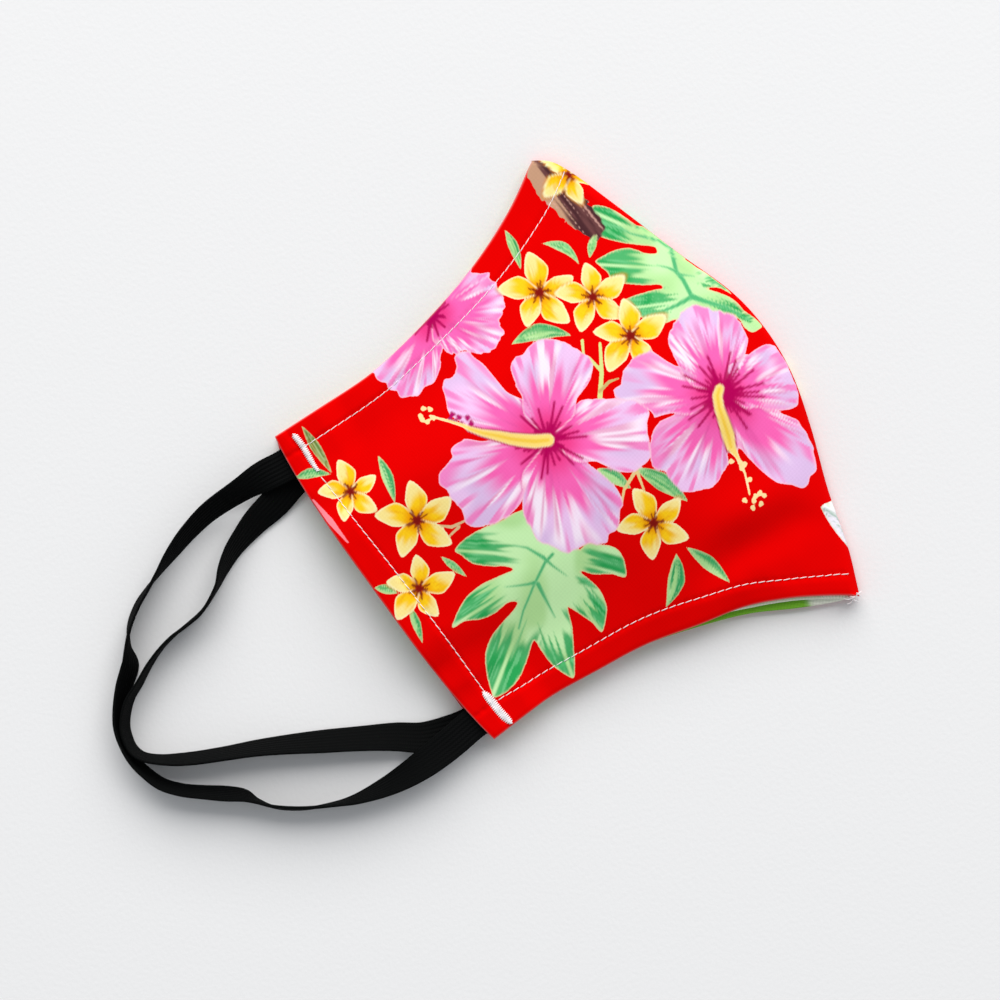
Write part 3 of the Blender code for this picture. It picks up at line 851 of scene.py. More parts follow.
FACING_PETALS = (
    petal_rim(
        -157, 166, -154, 185, -150, 206, -143, 230, -138, 245, -132, 248, -128, 242, -120, 253, -114, 261,
        -108, 256, -103, 242, -98, 236, -95, 223, -91, 205, -86, 173,
    ),
    petal_rim(
        -210, 212, -204, 233, -199, 245, -193, 250, -186, 256, -182, 268, -178, 264, -175, 232, -168, 190,
        -160, 181,
    ),
    petal_rim(
        -72, 141, -68, 166, -62, 218, -58, 252, -52, 285, -49, 308, -46, 310, -43, 302, -39, 306, -36, 295,
        -32, 277, -28, 257, -22, 225, -17, 194,
    ),
    petal_rim(
        61, 118, 64, 149, 68, 165, 76, 187, 83, 199, 91, 209, 99, 219, 106, 231, 114, 230, 121, 218, 125, 211,
        133, 195, 138, 178, 144, 144, 152, 117,
    ),
    petal_rim(
        -18, 126, -14, 160, -9, 188, -3, 194, 1, 197, 10, 191, 20, 189, 34, 186, 42, 183, 48, 168, 53, 144,
        56, 120, 60, 115, 66, 88,
    ),
)
HALF_PETALS = (
    petal_rim(
        -144, 214, -136, 204, -130, 206, -123, 202, -119, 211, -115, 207, -110, 216, -105, 205, -99, 203,
        -95, 179, -86, 161, -78, 123,
    ),
    petal_rim(
        -72, 75, -68, 94, -62, 110, -46, 122, -39, 151, -31, 175, -19, 184, -14, 184, -8, 172, 1, 176,
        10, 184, 18, 180, 27, 179, 33, 171, 36, 177, 46, 147, 53, 151,
    ),
)

# Outlines of the two large leaves, in tenths of a mm of the print's frame.
LOW_LEAF = pairs(
    329, 190, 291, 168, 246, 150, 204, 126, 176, 96, 192, 82, 220, 62, 262, 55, 297, 55, 319, 47, 287, 32,
    243, 11, 208, -17, 185, -52, 169, -97, 201, -81, 243, -76, 278, -59, 307, -35, 330, -35, 316, -59, 287,
    -91, 265, -122, 251, -164, 254, -212, 265, -256, 275, -272, 307, -256, 335, -224, 354, -183, 365, -145,
    373, -130, 389, -154, 412, -186, 434, -205, 463, -223, 472, -221, 474, -196, 471, -148, 466, -94, 456,
    -52, 461, -49, 482, -62, 514, -84, 539, -110, 549, -84, 552, -46, 539, -11, 517, 15, 488, 39, 491, 43,
    520, 35, 565, 35, 597, 27, 598, 53, 587, 85, 565, 104, 530, 109, 501, 112, 476, 98, 424, 155, 361, 193,
)
HIGH_LEAF = pairs(
    519, 952, 550, 950, 578, 938, 603, 922, 620, 910, 634, 902, 659, 902, 729, 853, 754, 830, 747, 826, 764,
    815, 780, 803, 810, 787, 876, 732, 834, 748, 803, 745, 831, 736, 859, 725, 880, 710, 897, 690, 922, 676,
    943, 659, 936, 647, 915, 636, 896, 648, 883, 668, 859, 682, 820, 678, 778, 657, 750, 657, 724, 666, 690,
    654, 659, 657, 631, 676, 613, 696, 596, 713, 617, 724, 648, 734, 673, 741, 690, 744, 687, 752, 673, 753,
    638, 752, 603, 755, 568, 762, 554, 783, 538, 797, 524, 811, 543, 825, 571, 839, 603, 846, 627, 841, 645,
    834, 673, 832, 679, 838, 669, 850, 638, 853, 603, 857, 568, 864, 538, 874, 519, 899, 513, 924,
)

# Each stamen's line with its width, and its cream and dark anthers, in mm from the flower's centre.
OPEN_STAMEN = (
    (0.0, 0.0, 3.1), (-3.0, -0.3, 3.3), (-6.0, -0.1, 3.2), (-9.1, 0.3, 2.9), (-12.1, 1.0, 2.5),
    (-16.2, 1.8, 1.7), (-19.3, 2.8, 1.2), (-20.8, 3.6, 0.9), (-23.9, 4.6, 0.7), (-26.9, 5.4, 0.6),
    (-29.0, 6.1, 0.6),
)
OPEN_CREAM = ((-30.8, 7.9), (-29.0, 7.7), (-31.5, 6.1), (-29.7, 4.6), (-28.2, 5.6), (-31.0, 5.1))
OPEN_DARK = ((-23.6, 6.4), (-21.8, 5.6), (-19.8, 5.6), (-22.9, 4.6), (-21.3, 4.1), (-24.1, 5.1), (-18.8, 4.1))
FACING_STAMEN = (
    (-0.8, 1.4, 2.2), (-1.4, -0.4, 2.4), (-0.9, -3.6, 2.5), (0.1, -6.3, 2.8), (1.3, -10.0, 3.2),
    (2.1, -13.0, 2.4), (3.7, -15.5, 1.0), (4.6, -17.5, 0.9), (5.6, -19.5, 0.5), (6.7, -24.7, 0.5),
)
FACING_CREAM = (
    (2.1, -16.6), (4.4, -16.8), (5.5, -17.2), (4.8, -18.3), (6.8, -21.0), (5.4, -26.2), (7.8, -26.4),
    (9.6, -27.0), (8.2, -25.2), (10.4, -25.0), (7.5, -28.0), (9.3, -24.5),
)

# What is printed on each half, from the lowest shape to the one on top.
NEAR_PRINT = (
    LobedLeaf(
        HIGH_LEAF,
        (
            ((68.7, 86.0), (51.5, 93.4), 8.6), ((71.5, 79.4), (52.4, 80.4), 8.0),
            ((73.6, 71.3), (60.3, 69.6), 6.6), ((77.8, 72.9), (91.0, 67.6), 2.6),
            ((74.3, 78.6), (86.6, 74.0), 3.0),
        ),
        (
            (((71.9, 85.0), (71.5, 83.9), (72.6, 78.7), (74.3, 76.6), (76.4, 72.4)), 1.0, 1.2),
            (((71.9, 85.0), (68.7, 86.6), (65.2, 87.3), (61.3, 88.2), (57.8, 89.9)), 1.1, 0.3),
            (((72.7, 78.7), (70.5, 79.7), (67.6, 80.3)), 0.9, 0.2),
            (((76.4, 72.4), (72.9, 70.3), (68.7, 68.5), (63.1, 67.6)), 1.4, 0.4),
            (((76.4, 72.4), (79.6, 71.3), (84.8, 69.9), (88.7, 68.2)), 1.6, 0.4),
            (((73.3, 78.0), (77.1, 77.6)), 0.7, 0.2),
        ),
        2,
    ),
    LobedLeaf(
        LOW_LEAF,
        (
            ((34.8, 8.5), (17.6, 9.6), 8.2), ((34.5, 1.5), (16.9, -9.7), 8.0),
            ((35.4, -6.2), (27.3, -27.2), 10.6), ((41.2, -5.5), (47.1, -22.3), 9.0),
            ((44.0, 1.5), (54.0, -11.0), 8.6), ((45.0, 6.9), (59.8, 2.7), 8.0),
        ),
        (
            (((41.7, 8.5), (39.9, 6.6), (38.0, 2.7), (37.2, 1.1), (35.8, -2.4), (34.5, -5.5), (33.4, -10.0)),
             0.9, 0.5),
            (((38.1, 1.1), (40.2, -3.0), (42.4, -7.3)), 1.2, 0.3),
            (((37.2, 1.5), (35.8, 1.1), (32.9, 0.7), (30.0, 0.4)), 1.0, 0.2),
            (((39.3, 7.8), (35.4, 10.1), (31.9, 10.7)), 1.0, 0.2),
            (((39.3, 7.8), (41.8, 5.6), (45.3, 3.1)), 1.0, 0.2),
        ),
        1,
    ),
    Branch(((36.9, 108.7), (41.6, 100.4), (47.2, 94.4), (52.0, 89.3)), 8.2),
    *blades(
        (29.9, 89.2, 33.9, 79.0, 2.5, 0.5, 4), (39.0, 85.6, 48.4, 80.2, 2.6, 1.9, 5, "#7CCB84"),
        (52.8, 88.0, 51.0, 81.8, 2.2, -0.4, 6, "#8ACF80"), (31.5, 60.3, 46.5, 62.4, 4.2, 2.1, 7),
        (-1.6, 33.0, 2.8, 21.0, 2.8, 0.5, 8), (-20.6, 40.4, -12.9, 28.4, 2.5, 0.0, 9, "#6F7A34", "#A9A560"),
        (-22.4, 27.0, -13.2, 28.2, 2.6, 1.0, 10), (-2.4, 0.2, 3.6, -1.2, 2.4, 0.3, 11),
        (14.0, 8.0, 20.6, 2.8, 1.9, 0.1, 12, "#5FBF7A"), (6.2, -4.0, 9.6, -13.6, 2.2, 0.2, 13),
        (52.5, 29.6, 61.0, 24.6, 3.4, 0.4, 14), (62.0, 29.8, 75.2, 21.4, 4.2, 0.6, 15),
        (72.3, 8.7, 69.9, -4.8, 4.2, 1.3, 16), (74.8, 10.2, 86.0, 1.2, 3.4, 0.5, 17),
    ),
    Stroke(((53.3, 47.0), (53.8, 53.5), (53.4, 60.5)), (1.2, 1.0, 0.7), "#D9E28C"),
    Stroke(((53.8, 53.5), (50.6, 57.0)), (0.9, 0.7), "#D9E28C"),
    Stroke(((53.3, 48.6), (55.6, 51.0), (57.9, 51.8)), (0.9, 0.8, 0.4), "#C9B070"),
    Stroke(((49.0, 61.2), (49.3, 58.0)), (0.8, 0.6), "#D9E28C"),
    Stroke(((62.3, 29.4), (59.2, 24.4), (58.6, 20.4)), (1.0, 0.7, 0.4), "#E8C98A"),
    Stroke(((62.5, 28.6), (64.8, 22.6)), (0.8, 0.4), "#E8C98A"),
    Stroke(((13.6, 15.6), (16.8, 15.2), (20.2, 16.8)), (0.5, 0.8, 0.5), "#DDB98A"),
    Stroke(((15.2, 12.0), (18.6, 15.2)), (0.4, 0.8), "#DDB98A"),
    Stroke(((-17.6, 21.8), (-13.2, 16.6), (-8.8, 11.3)), (0.5, 1.5, 0.4), "#FF8A96"),
    Hibiscus((11.6, 67.7), HALF_PETALS, seed=3, throat=1.2, rays=18, pale_from=0.60),
    *plumerias(
        (38.5, 73.3, 9.9, 101, 1), (51.7, 72.1, 9.3, 107, 2), (60.9, 62.4, 9.8, 98, 3),
        (-8.3, 24.0, 7.9, 109, 4), (8.3, 16.8, 10.1, 105, 5), (8.8, 0.0, 8.9, 92, 6),
        (66.6, 16.2, 9.3, 120, 7), (46.4, 102.9, 8.2, 150, 8),
    ),
    *blades((125.6, 16.2, 108.6, 20.2, 14.5, 0.0, 31, "#F1EAF8", "#FFFFFF")),
    Hibiscus((83.8, 48.0), FACING_PETALS, FACING_STAMEN, FACING_CREAM, (), 0, 2, 3.1, 38, 0.50),
    Hibiscus((40.5, 36.6), OPEN_PETALS, OPEN_STAMEN, OPEN_CREAM, OPEN_DARK),
)

FAR_PRINT = (
    replace(NEAR_PRINT[1], seed=3, turn=160, shift=(52.0, 28.0)),
    replace(NEAR_PRINT[1], seed=4, turn=-60, shift=(-14.0, -28.0)),
    *blades(
        (60.0, -38.0, 74.0, -44.0, 3.6, 0.8, 21), (52.0, 32.0, 62.0, 44.0, 3.6, 0.8, 22),
        (16.0, 34.0, 28.0, 40.0, 3.2, 0.8, 23), (94.0, -44.0, 98.0, -58.0, 3.2, 0.6, 24),
        (8.0, 4.0, 18.0, -2.0, 3.0, 0.6, 25),
    ),
    *plumerias(
        (58.0, 26.0, 9.6, 60, 11), (70.0, 50.0, 9.0, 20, 12), (12.0, 36.0, 9.0, 75, 13),
        (9.0, 14.0, 8.6, 100, 14), (46.0, -38.0, 9.8, 90, 15), (62.0, -50.0, 9.0, 130, 16),
        (108.0, -18.0, 9.0, 40, 17), (84.0, 62.0, 9.0, 0, 18),
    ),
    Hibiscus((38.0, 6.0), OPEN_PETALS, OPEN_STAMEN, OPEN_CREAM, OPEN_DARK, 150, 9),
    Hibiscus((86.0, -22.0), FACING_PETALS, FACING_STAMEN, FACING_CREAM, (), -130, 10, 4.4, 38),
)


def new_piece(name: str, points: Array, faces: list, finish: Material) -> Piece:
    """Make a smooth mesh piece that rides on the mask.

    Args:
        name: The piece's name.
        points: Vertices in metres.
        faces: Arrays of faces, each with its own corner count.
        finish: Its material.

    Returns:
        The piece.
    """
    mesh = bpy.data.meshes.new(name)
    mesh.vertices.add(len(points))
    mesh.vertices.foreach_set("co", points.astype(np.float32).ravel())
    corners = np.concatenate([f.ravel() for f in faces]).astype(np.int32)
    sizes = np.concatenate([np.full(len(f), f.shape[1]) for f in faces])
    mesh.loops.add(len(corners))
    mesh.loops.foreach_set("vertex_index", corners)
    mesh.polygons.add(len(sizes))
    mesh.polygons.foreach_set("loop_start", np.concatenate([[0], np.cumsum(sizes)[:-1]]).astype(np.int32))
    mesh.update(calc_edges=True)
    mesh.validate()
    mesh.shade_smooth()
    mesh.materials.append(finish)
    piece = bpy.data.objects.new(name, mesh)
    bpy.context.scene.collection.objects.link(piece)
    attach(piece, "root")
    return piece


def keep_values(piece: Piece, name: str, values: Array) -> None:
    """Store a number, vector or colour at each vertex, for the piece's material to read."""
    kind, key = {1: ("FLOAT", "value"), 3: ("FLOAT_VECTOR", "vector"), 4: ("FLOAT_COLOR", "color")}[
        1 if values.ndim == 1 else values.shape[1]
    ]
    layer = piece.data.attributes.new(name, kind, "POINT")
    layer.data.foreach_set(key, values.astype(np.float32).ravel())


def grid_faces(rows: int, columns: int) -> tuple[Array, Array, Array]:
    """Number the points of a grid.

    Args:
        rows: Points out from the ear edge.
        columns: Points from chin to nose.

    Returns:
        The numbers, the faces of four corners, and the border: ear edge, nose hem, seam and chin hem.
    """
    number = np.arange(rows * columns).reshape(rows, columns)
    quads = np.stack([number[:-1, :-1], number[1:, :-1], number[1:, 1:], number[:-1, 1:]], axis=-1)
    border = np.concatenate([number[0, :-1], number[:-1, -1], number[-1, ::-1][:-1], number[::-1, 0][:-1]])
    return number, quads.reshape(-1, 4), border


def ring_faces(first: Array, second: Array) -> Array:
    """Faces of four corners between rings of points, given by the points' numbers."""
    return np.stack([first, np.roll(first, -1, -1), np.roll(second, -1, -1), second], axis=-1).reshape(-1, 4)


def tubes(paths: Array, radius: Array, sides: int) -> tuple[Array, Array]:
    """Round threads along many paths.

    Args:
        paths: One row of points for each thread.
        radius: Radius at each point of a thread.
        sides: Corners of a thread's section.

    Returns:
        Vertices, and faces of four corners.
    """
    count, steps, _ = paths.shape
    ahead = np.empty_like(paths)
    ahead[:, 1:-1] = paths[:, 2:] - paths[:, :-2]
    ahead[:, 0], ahead[:, -1] = paths[:, 1] - paths[:, 0], paths[:, -1] - paths[:, -2]
    ahead /= np.linalg.norm(ahead, axis=2, keepdims=True)
    side = np.cross(ahead, [0.0, 0.0, 1.0])
    side /= np.maximum(np.linalg.norm(side, axis=2, keepdims=True), 1e-9)
    up = np.cross(side, ahead)
    angle = np.arange(sides) / sides * 2 * math.pi
    ring = side[:, :, None] * np.cos(angle)[:, None] + up[:, :, None] * np.sin(angle)[:, None]
    points = paths[:, :, None] + ring * np.asarray(radius)[None, :, None, None]
    number = np.arange(count * steps * sides).reshape(count, steps, sides)
    near, far = number[:, :-1], number[:, 1:]
    faces = np.stack([near, far, np.roll(far, -1, 2), np.roll(near, -1, 2)], axis=-1)
    return points.reshape(-1, 3), faces.reshape(-1, 4)[:, ::-1]


class Finish:
    """What every finish shares: a start, and the last links to its shader."""

    def start(self, name: str) -> tuple[Material, Tree]:
        """Make a plain material of this name."""
        material = bpy.data.materials.new(name)
        material.use_nodes = True
        return material, material.node_tree

    def dress(
        self,
        tree: Tree,
        colour: Socket,
        height: Socket,
        matt: tuple[float, float],
        relief: tuple[float, float],
        settings: dict,
    ) -> None:
        """Give the shader its colour, roughness and relief, and what is the same all over.

        Args:
            tree: The material's nodes.
            colour: Socket of the colour.
            height: Socket of the surface's fine height, from 0 to 1.
            matt: Roughness where the height is 0, and where it is 1.
            relief: Strength of the height's bump, and its distance in metres.
            settings: Value of each other input, by name.
        """
        shader = tree.nodes["Principled BSDF"]
        rough = add(tree, "MapRange", {"Value": height, "To Min": matt[0], "To Max": matt[1]})
        bump = add(tree, "Bump", {"Height": height, "Strength": relief[0], "Distance": relief[1]})
        tree.links.new(colour, shader.inputs["Base Color"])
        tree.links.new(rough.outputs["Result"], shader.inputs["Roughness"])
        tree.links.new(bump.outputs["Normal"], shader.inputs["Normal"])
        for name, value in settings.items():
            shader.inputs[name].default_value = value


def weave_height(tree: Tree, cloth: Socket, spacing: float) -> Socket:
    """Height of a plain weave, from 0 to 1.

    Args:
        tree: The material's nodes.
        cloth: Coordinates on the flat cloth, in mm.
        spacing: Distance between threads, in mm.

    Returns:
        The socket that gives the height.
    """
    parts = add(tree, "SeparateXYZ", {0: cloth})
    waves = []
    for axis in ("X", "Y"):
        angle = add(tree, "Math", {0: parts.outputs[axis], 1: math.pi / spacing}, operation="MULTIPLY")
        waves.append(add(tree, "Math", {0: angle.outputs[0]}, operation="SINE").outputs[0])
    both = add(tree, "Math", {0: waves[0], 1: waves[1]}, operation="MULTIPLY")
    return add(tree, "Math", {0: both.outputs[0], 1: 0.5, 2: 0.5}, operation="MULTIPLY_ADD").outputs[0]


@dataclass(frozen=True)
class PrintedPoplin(Finish):
    """Reactive-printed cotton poplin, plain woven and pressed.

    Its fine matt threads scatter the light, so colours stay strong from every side. The rolled edges are
    paler: the bloom of loose fibre ends, with a painted highlight. The real thread spacing is about 0.33 mm,
    too fine for the render's quarter of a millimetre to a pixel, so the weave is drawn at 0.55 mm.
    """

    ground: str = GROUND
    # Pale colour of the rolled edges: fibre wear with a painted highlight.
    wear_and_highlight: str = "#F3A9A6"
    wear_and_highlight_share: float = 0.48
    thread_spacing: float = 0.55
    # The dye's edge wanders by 0.22 mm in specks 0.45 mm across, and its depth in clouds of 14 mm.
    bleed: float = 0.22
    bleed_scale: float = 2.2
    cloud_scale: float = 0.07
    roughness: float = 0.78
    sheen: float = 0.04

    def material(self) -> Material:
        """Build the material."""
        material, tree = self.start("printed_cotton_poplin")
        sockets = (("cloth", "Vector"), ("print_colour", "Color"), ("print_cover", "Fac"), ("rim", "Fac"))
        cloth, colour, cover, rim = (
            add(tree, "Attribute", attribute_name=name).outputs[socket] for name, socket in sockets
        )
        weave = weave_height(tree, cloth, self.thread_spacing)
        bleed = add(tree, "TexNoise", {"Vector": cloth, "Scale": self.bleed_scale, "Detail": 1.0})
        edge = {0: bleed.outputs["Fac"], 1: self.bleed, 2: cover}
        edge = add(tree, "Math", edge, operation="MULTIPLY_ADD").outputs[0]
        edge = {"Value": edge, "From Min": 0.04, "From Max": 0.18}
        inside = add(tree, "MapRange", edge, interpolation_type="SMOOTHSTEP").outputs["Result"]
        shown = {"Factor": inside, 6: (*linear(self.ground), 1.0), 7: colour}
        shown = add(tree, "Mix", shown, data_type="RGBA").outputs[2]
        cloud = add(tree, "TexNoise", {"Vector": cloth, "Scale": self.cloud_scale, "Detail": 2.0})
        cloud = {"Value": cloud.outputs["Fac"], "To Min": 0.93, "To Max": 1.05}
        level = add(tree, "MapRange", cloud).outputs["Result"]
        # Painted shade between the woven threads: 3% darker in the weave's low places, over random cloudy
        # tone.
        level = add(tree, "Math", {0: weave, 1: 0.03, 2: level}, operation="MULTIPLY_ADD").outputs[0]
        # Painted highlight, with fibre wear, on the rolled edges: the rim attribute mixes in the pale colour.
        wear_and_highlight = add(tree, "Math", {0: rim, 1: self.wear_and_highlight_share}, operation="MULTIPLY").outputs[0]
        wear_and_highlight = {"Factor": wear_and_highlight, 6: shown, 7: (*linear(self.wear_and_highlight), 1.0)}
        wear_and_highlight = add(tree, "Mix", wear_and_highlight, data_type="RGBA").outputs[2]
        toned = {"Factor": 1.0, 6: wear_and_highlight, 7: level}
        toned = add(tree, "Mix", toned, data_type="RGBA", blend_type="MULTIPLY").outputs[2]
        settings = {
            "IOR": 1.47,
            "Specular IOR Level": 0.0,
            "Sheen Weight": self.sheen,
            "Sheen Roughness": 0.5,
            "Sheen Tint": (1.0, 0.3, 0.3, 1.0),
        }
        self.dress(tree, toned, weave, (self.roughness + 0.08, self.roughness), (0.15, 0.00008), settings)
        return material


@dataclass(frozen=True)
class LiningPoplin(Finish):
    """Lime green cotton poplin with a white leaf print, plain woven: matt and bright.

    Its threads are drawn at the outer cloth's spacing. The leaves are about 13 mm apart and bent by up
    to 9 mm, and the pressed fold of the chin hem shows white.
    """

    ground: str = "#78BE22"
    motif: str = "#F2F5E4"
    thread_spacing: float = 0.55
    leaf_spacing: float = 40 / 3
    leaf_bend: float = 9.0

    def material(self) -> Material:
        """Build the material."""
        material, tree = self.start("lining_cotton_poplin")
        cloth = add(tree, "Attribute", attribute_name="cloth").outputs["Vector"]
        fold = add(tree, "Attribute", attribute_name="white_fold").outputs["Fac"]
        weave = weave_height(tree, cloth, self.thread_spacing)
        wander = add(tree, "TexNoise", {"Vector": cloth, "Scale": 0.12, "Detail": 1.0})
        bent = {0: wander.outputs["Color"], 1: (self.leaf_bend, self.leaf_bend, 0.0), 2: cloth}
        bent = add(tree, "VectorMath", bent, operation="MULTIPLY_ADD").outputs[0]
        cells = {"Vector": bent, "Scale": 1 / self.leaf_spacing, "Randomness": 0.9}
        cells = add(tree, "TexVoronoi", cells).outputs["Distance"]
        leaf = {"Value": cells, "From Min": 0.36, "From Max": 0.30}
        leaf = add(tree, "MapRange", leaf, interpolation_type="SMOOTHSTEP").outputs["Result"]
        veins = add(tree, "TexWave", {"Vector": bent, "Scale": 0.35, "Distortion": 2.0})
        vein = {"Value": veins.outputs["Fac"], "From Min": 0.05, "From Max": 0.25}
        vein = add(tree, "MapRange", vein).outputs["Result"]
        leaves = add(tree, "Math", {0: leaf, 1: vein}, operation="MULTIPLY").outputs[0]
        share = add(tree, "Math", {0: leaves, 1: fold}, operation="MAXIMUM").outputs[0]
        shown = {"Factor": share, 6: (*linear(self.ground), 1.0), 7: (*linear(self.motif), 1.0)}
        shown = add(tree, "Mix", shown, data_type="RGBA").outputs[2]
        # Painted shade between the woven threads: the weave's low places are darker.
        level = add(tree, "MapRange", {"Value": weave, "To Min": 0.90, "To Max": 1.03}).outputs["Result"]
        toned = {"Factor": 1.0, 6: shown, 7: level}
        toned = add(tree, "Mix", toned, data_type="RGBA", blend_type="MULTIPLY").outputs[2]
        self.dress(tree, toned, weave, (0.90, 0.80), (0.4, 0.00008), {"IOR": 1.47, "Sheen Weight": 0.2})
        return material


@dataclass(frozen=True)
class SewingThread(Finish):
    """Spun white polyester sewing thread of two twisted plies: bright, with a faint lustre.

    The twist is finer than a pixel. What shows of it is a lustre that differs from stitch to stitch,
    drawn in broken slanted bands 8.8 mm apart along each axis, under a 0.4 mm fuzz of fibre ends.
    """

    colour: str = "#FBF6F7"
    lustre_spacing: float = 8.7965
    fuzz_scale: float = 2600.0

    def material(self) -> Material:
        """Build the material."""
        material, tree = self.start("spun_polyester_thread")
        place = add(tree, "TexCoord").outputs["Object"]
        # The texture has a slanted band for each fifth of pi at scale 1.
        scale = math.pi / 5 / (self.lustre_spacing * MM)
        lustre = {"Vector": place, "Scale": scale, "Distortion": 1.5, "Detail Scale": 3.0}
        lustre = add(tree, "TexWave", lustre, bands_direction="DIAGONAL").outputs["Fac"]
        fuzz = add(tree, "TexNoise", {"Vector": place, "Scale": self.fuzz_scale, "Detail": 2.0})
        tone = {"Value": fuzz.outputs["Fac"], "To Min": 0.86, "To Max": 1.06}
        tone = add(tree, "MapRange", tone).outputs["Result"]
        toned = {"Factor": 1.0, 6: (*linear(self.colour), 1.0), 7: tone}
        toned = add(tree, "Mix", toned, data_type="RGBA", blend_type="MULTIPLY").outputs[2]
        self.dress(tree, toned, lustre, (0.45, 0.65), (0.5, 0.00005), {"IOR": 1.55, "Sheen Weight": 0.3})
        return material


@dataclass(frozen=True)
class BraidedElastic(Finish):
    """Black braided elastic: polyester yarn over rubber cores, which show as fine lengthwise ribs.

    The yarn is matt with a low gleam on top of each rib. Its chevrons are 0.6 mm apart and turn at
    every rib, 1 mm from the last.
    """

    colour: str = "#020303"
    # Paler colour of the raised yarn: wear with a painted highlight.
    wear_and_highlight: str = "#050607"
    chevron: float = 0.6
    chevron_width: float = 1.0

    def material(self) -> Material:
        """Build the material."""
        material, tree = self.start("braided_polyester_elastic")
        band = add(tree, "Attribute", attribute_name="band").outputs["Vector"]
        parts = add(tree, "SeparateXYZ", {0: band}).outputs
        rib = add(tree, "Math", {0: parts["Y"], 1: self.chevron_width}, operation="PINGPONG").outputs[0]
        slant = add(tree, "Math", {0: rib, 1: 0.9, 2: parts["X"]}, operation="MULTIPLY_ADD").outputs[0]
        angle = add(tree, "Math", {0: slant, 1: 2 * math.pi / self.chevron}, operation="MULTIPLY")
        yarn = add(tree, "Math", {0: angle.outputs[0]}, operation="SINE").outputs[0]
        height = add(tree, "Math", {0: yarn, 1: 0.5, 2: 0.5}, operation="MULTIPLY_ADD").outputs[0]
        fuzz = add(tree, "TexNoise", {"Vector": band, "Scale": 3.0, "Detail": 3.0}).outputs["Fac"]
        share = add(tree, "Math", {0: height, 1: fuzz}, operation="MULTIPLY").outputs[0]
        # Raised yarn painted paler: wear with a painted highlight on the tops.
        toned = {"Factor": share, 6: (*linear(self.colour), 1.0), 7: (*linear(self.wear_and_highlight), 1.0)}
        toned = add(tree, "Mix", toned, data_type="RGBA").outputs[2]
        settings = {"IOR": 1.5, "Specular IOR Level": 0.08, "Sheen Weight": 0.0}
        self.dress(tree, toned, height, (0.85, 0.72), (0.5, 0.00008), settings)
        return material


# Share of the way out to the seam, and how far inside the hem the stitches run there, in mm.
TOP_ROW = ((0.0, 6.1), (0.2, 6.1), (0.42, 5.75), (0.65, 6.2), (0.85, 6.5), (1.0, 6.5))
BOTTOM_ROW = (
    (0.0, 7.4), (0.07, 7.2), (0.17, 6.2), (0.50, 6.2), (0.615, 6.0), (0.72, 5.1), (0.86, 3.9), (1.0, 4.1),
)
# Place along the ear edge from its middle, and how far out from it the stitches run there, in mm.
EAR_ROW = ((-50.0, 4.9), (-34.5, 5.0), (-16.9, 5.2), (1.5, 4.8), (20.3, 4.0), (34.8, 3.4), (50.0, 3.0))
# Each bar tack's two ends, out from the ear edge's middle and along it, and its width, in mm.
TACKS = (((4.1, 44.2), (3.9, 33.3), 1.6), ((4.5, -35.4), (5.9, -45.7), 2.1))
# Least height of a thread's lowest point over the surface under the mask.
THREAD_CLEARANCE = 0.00002


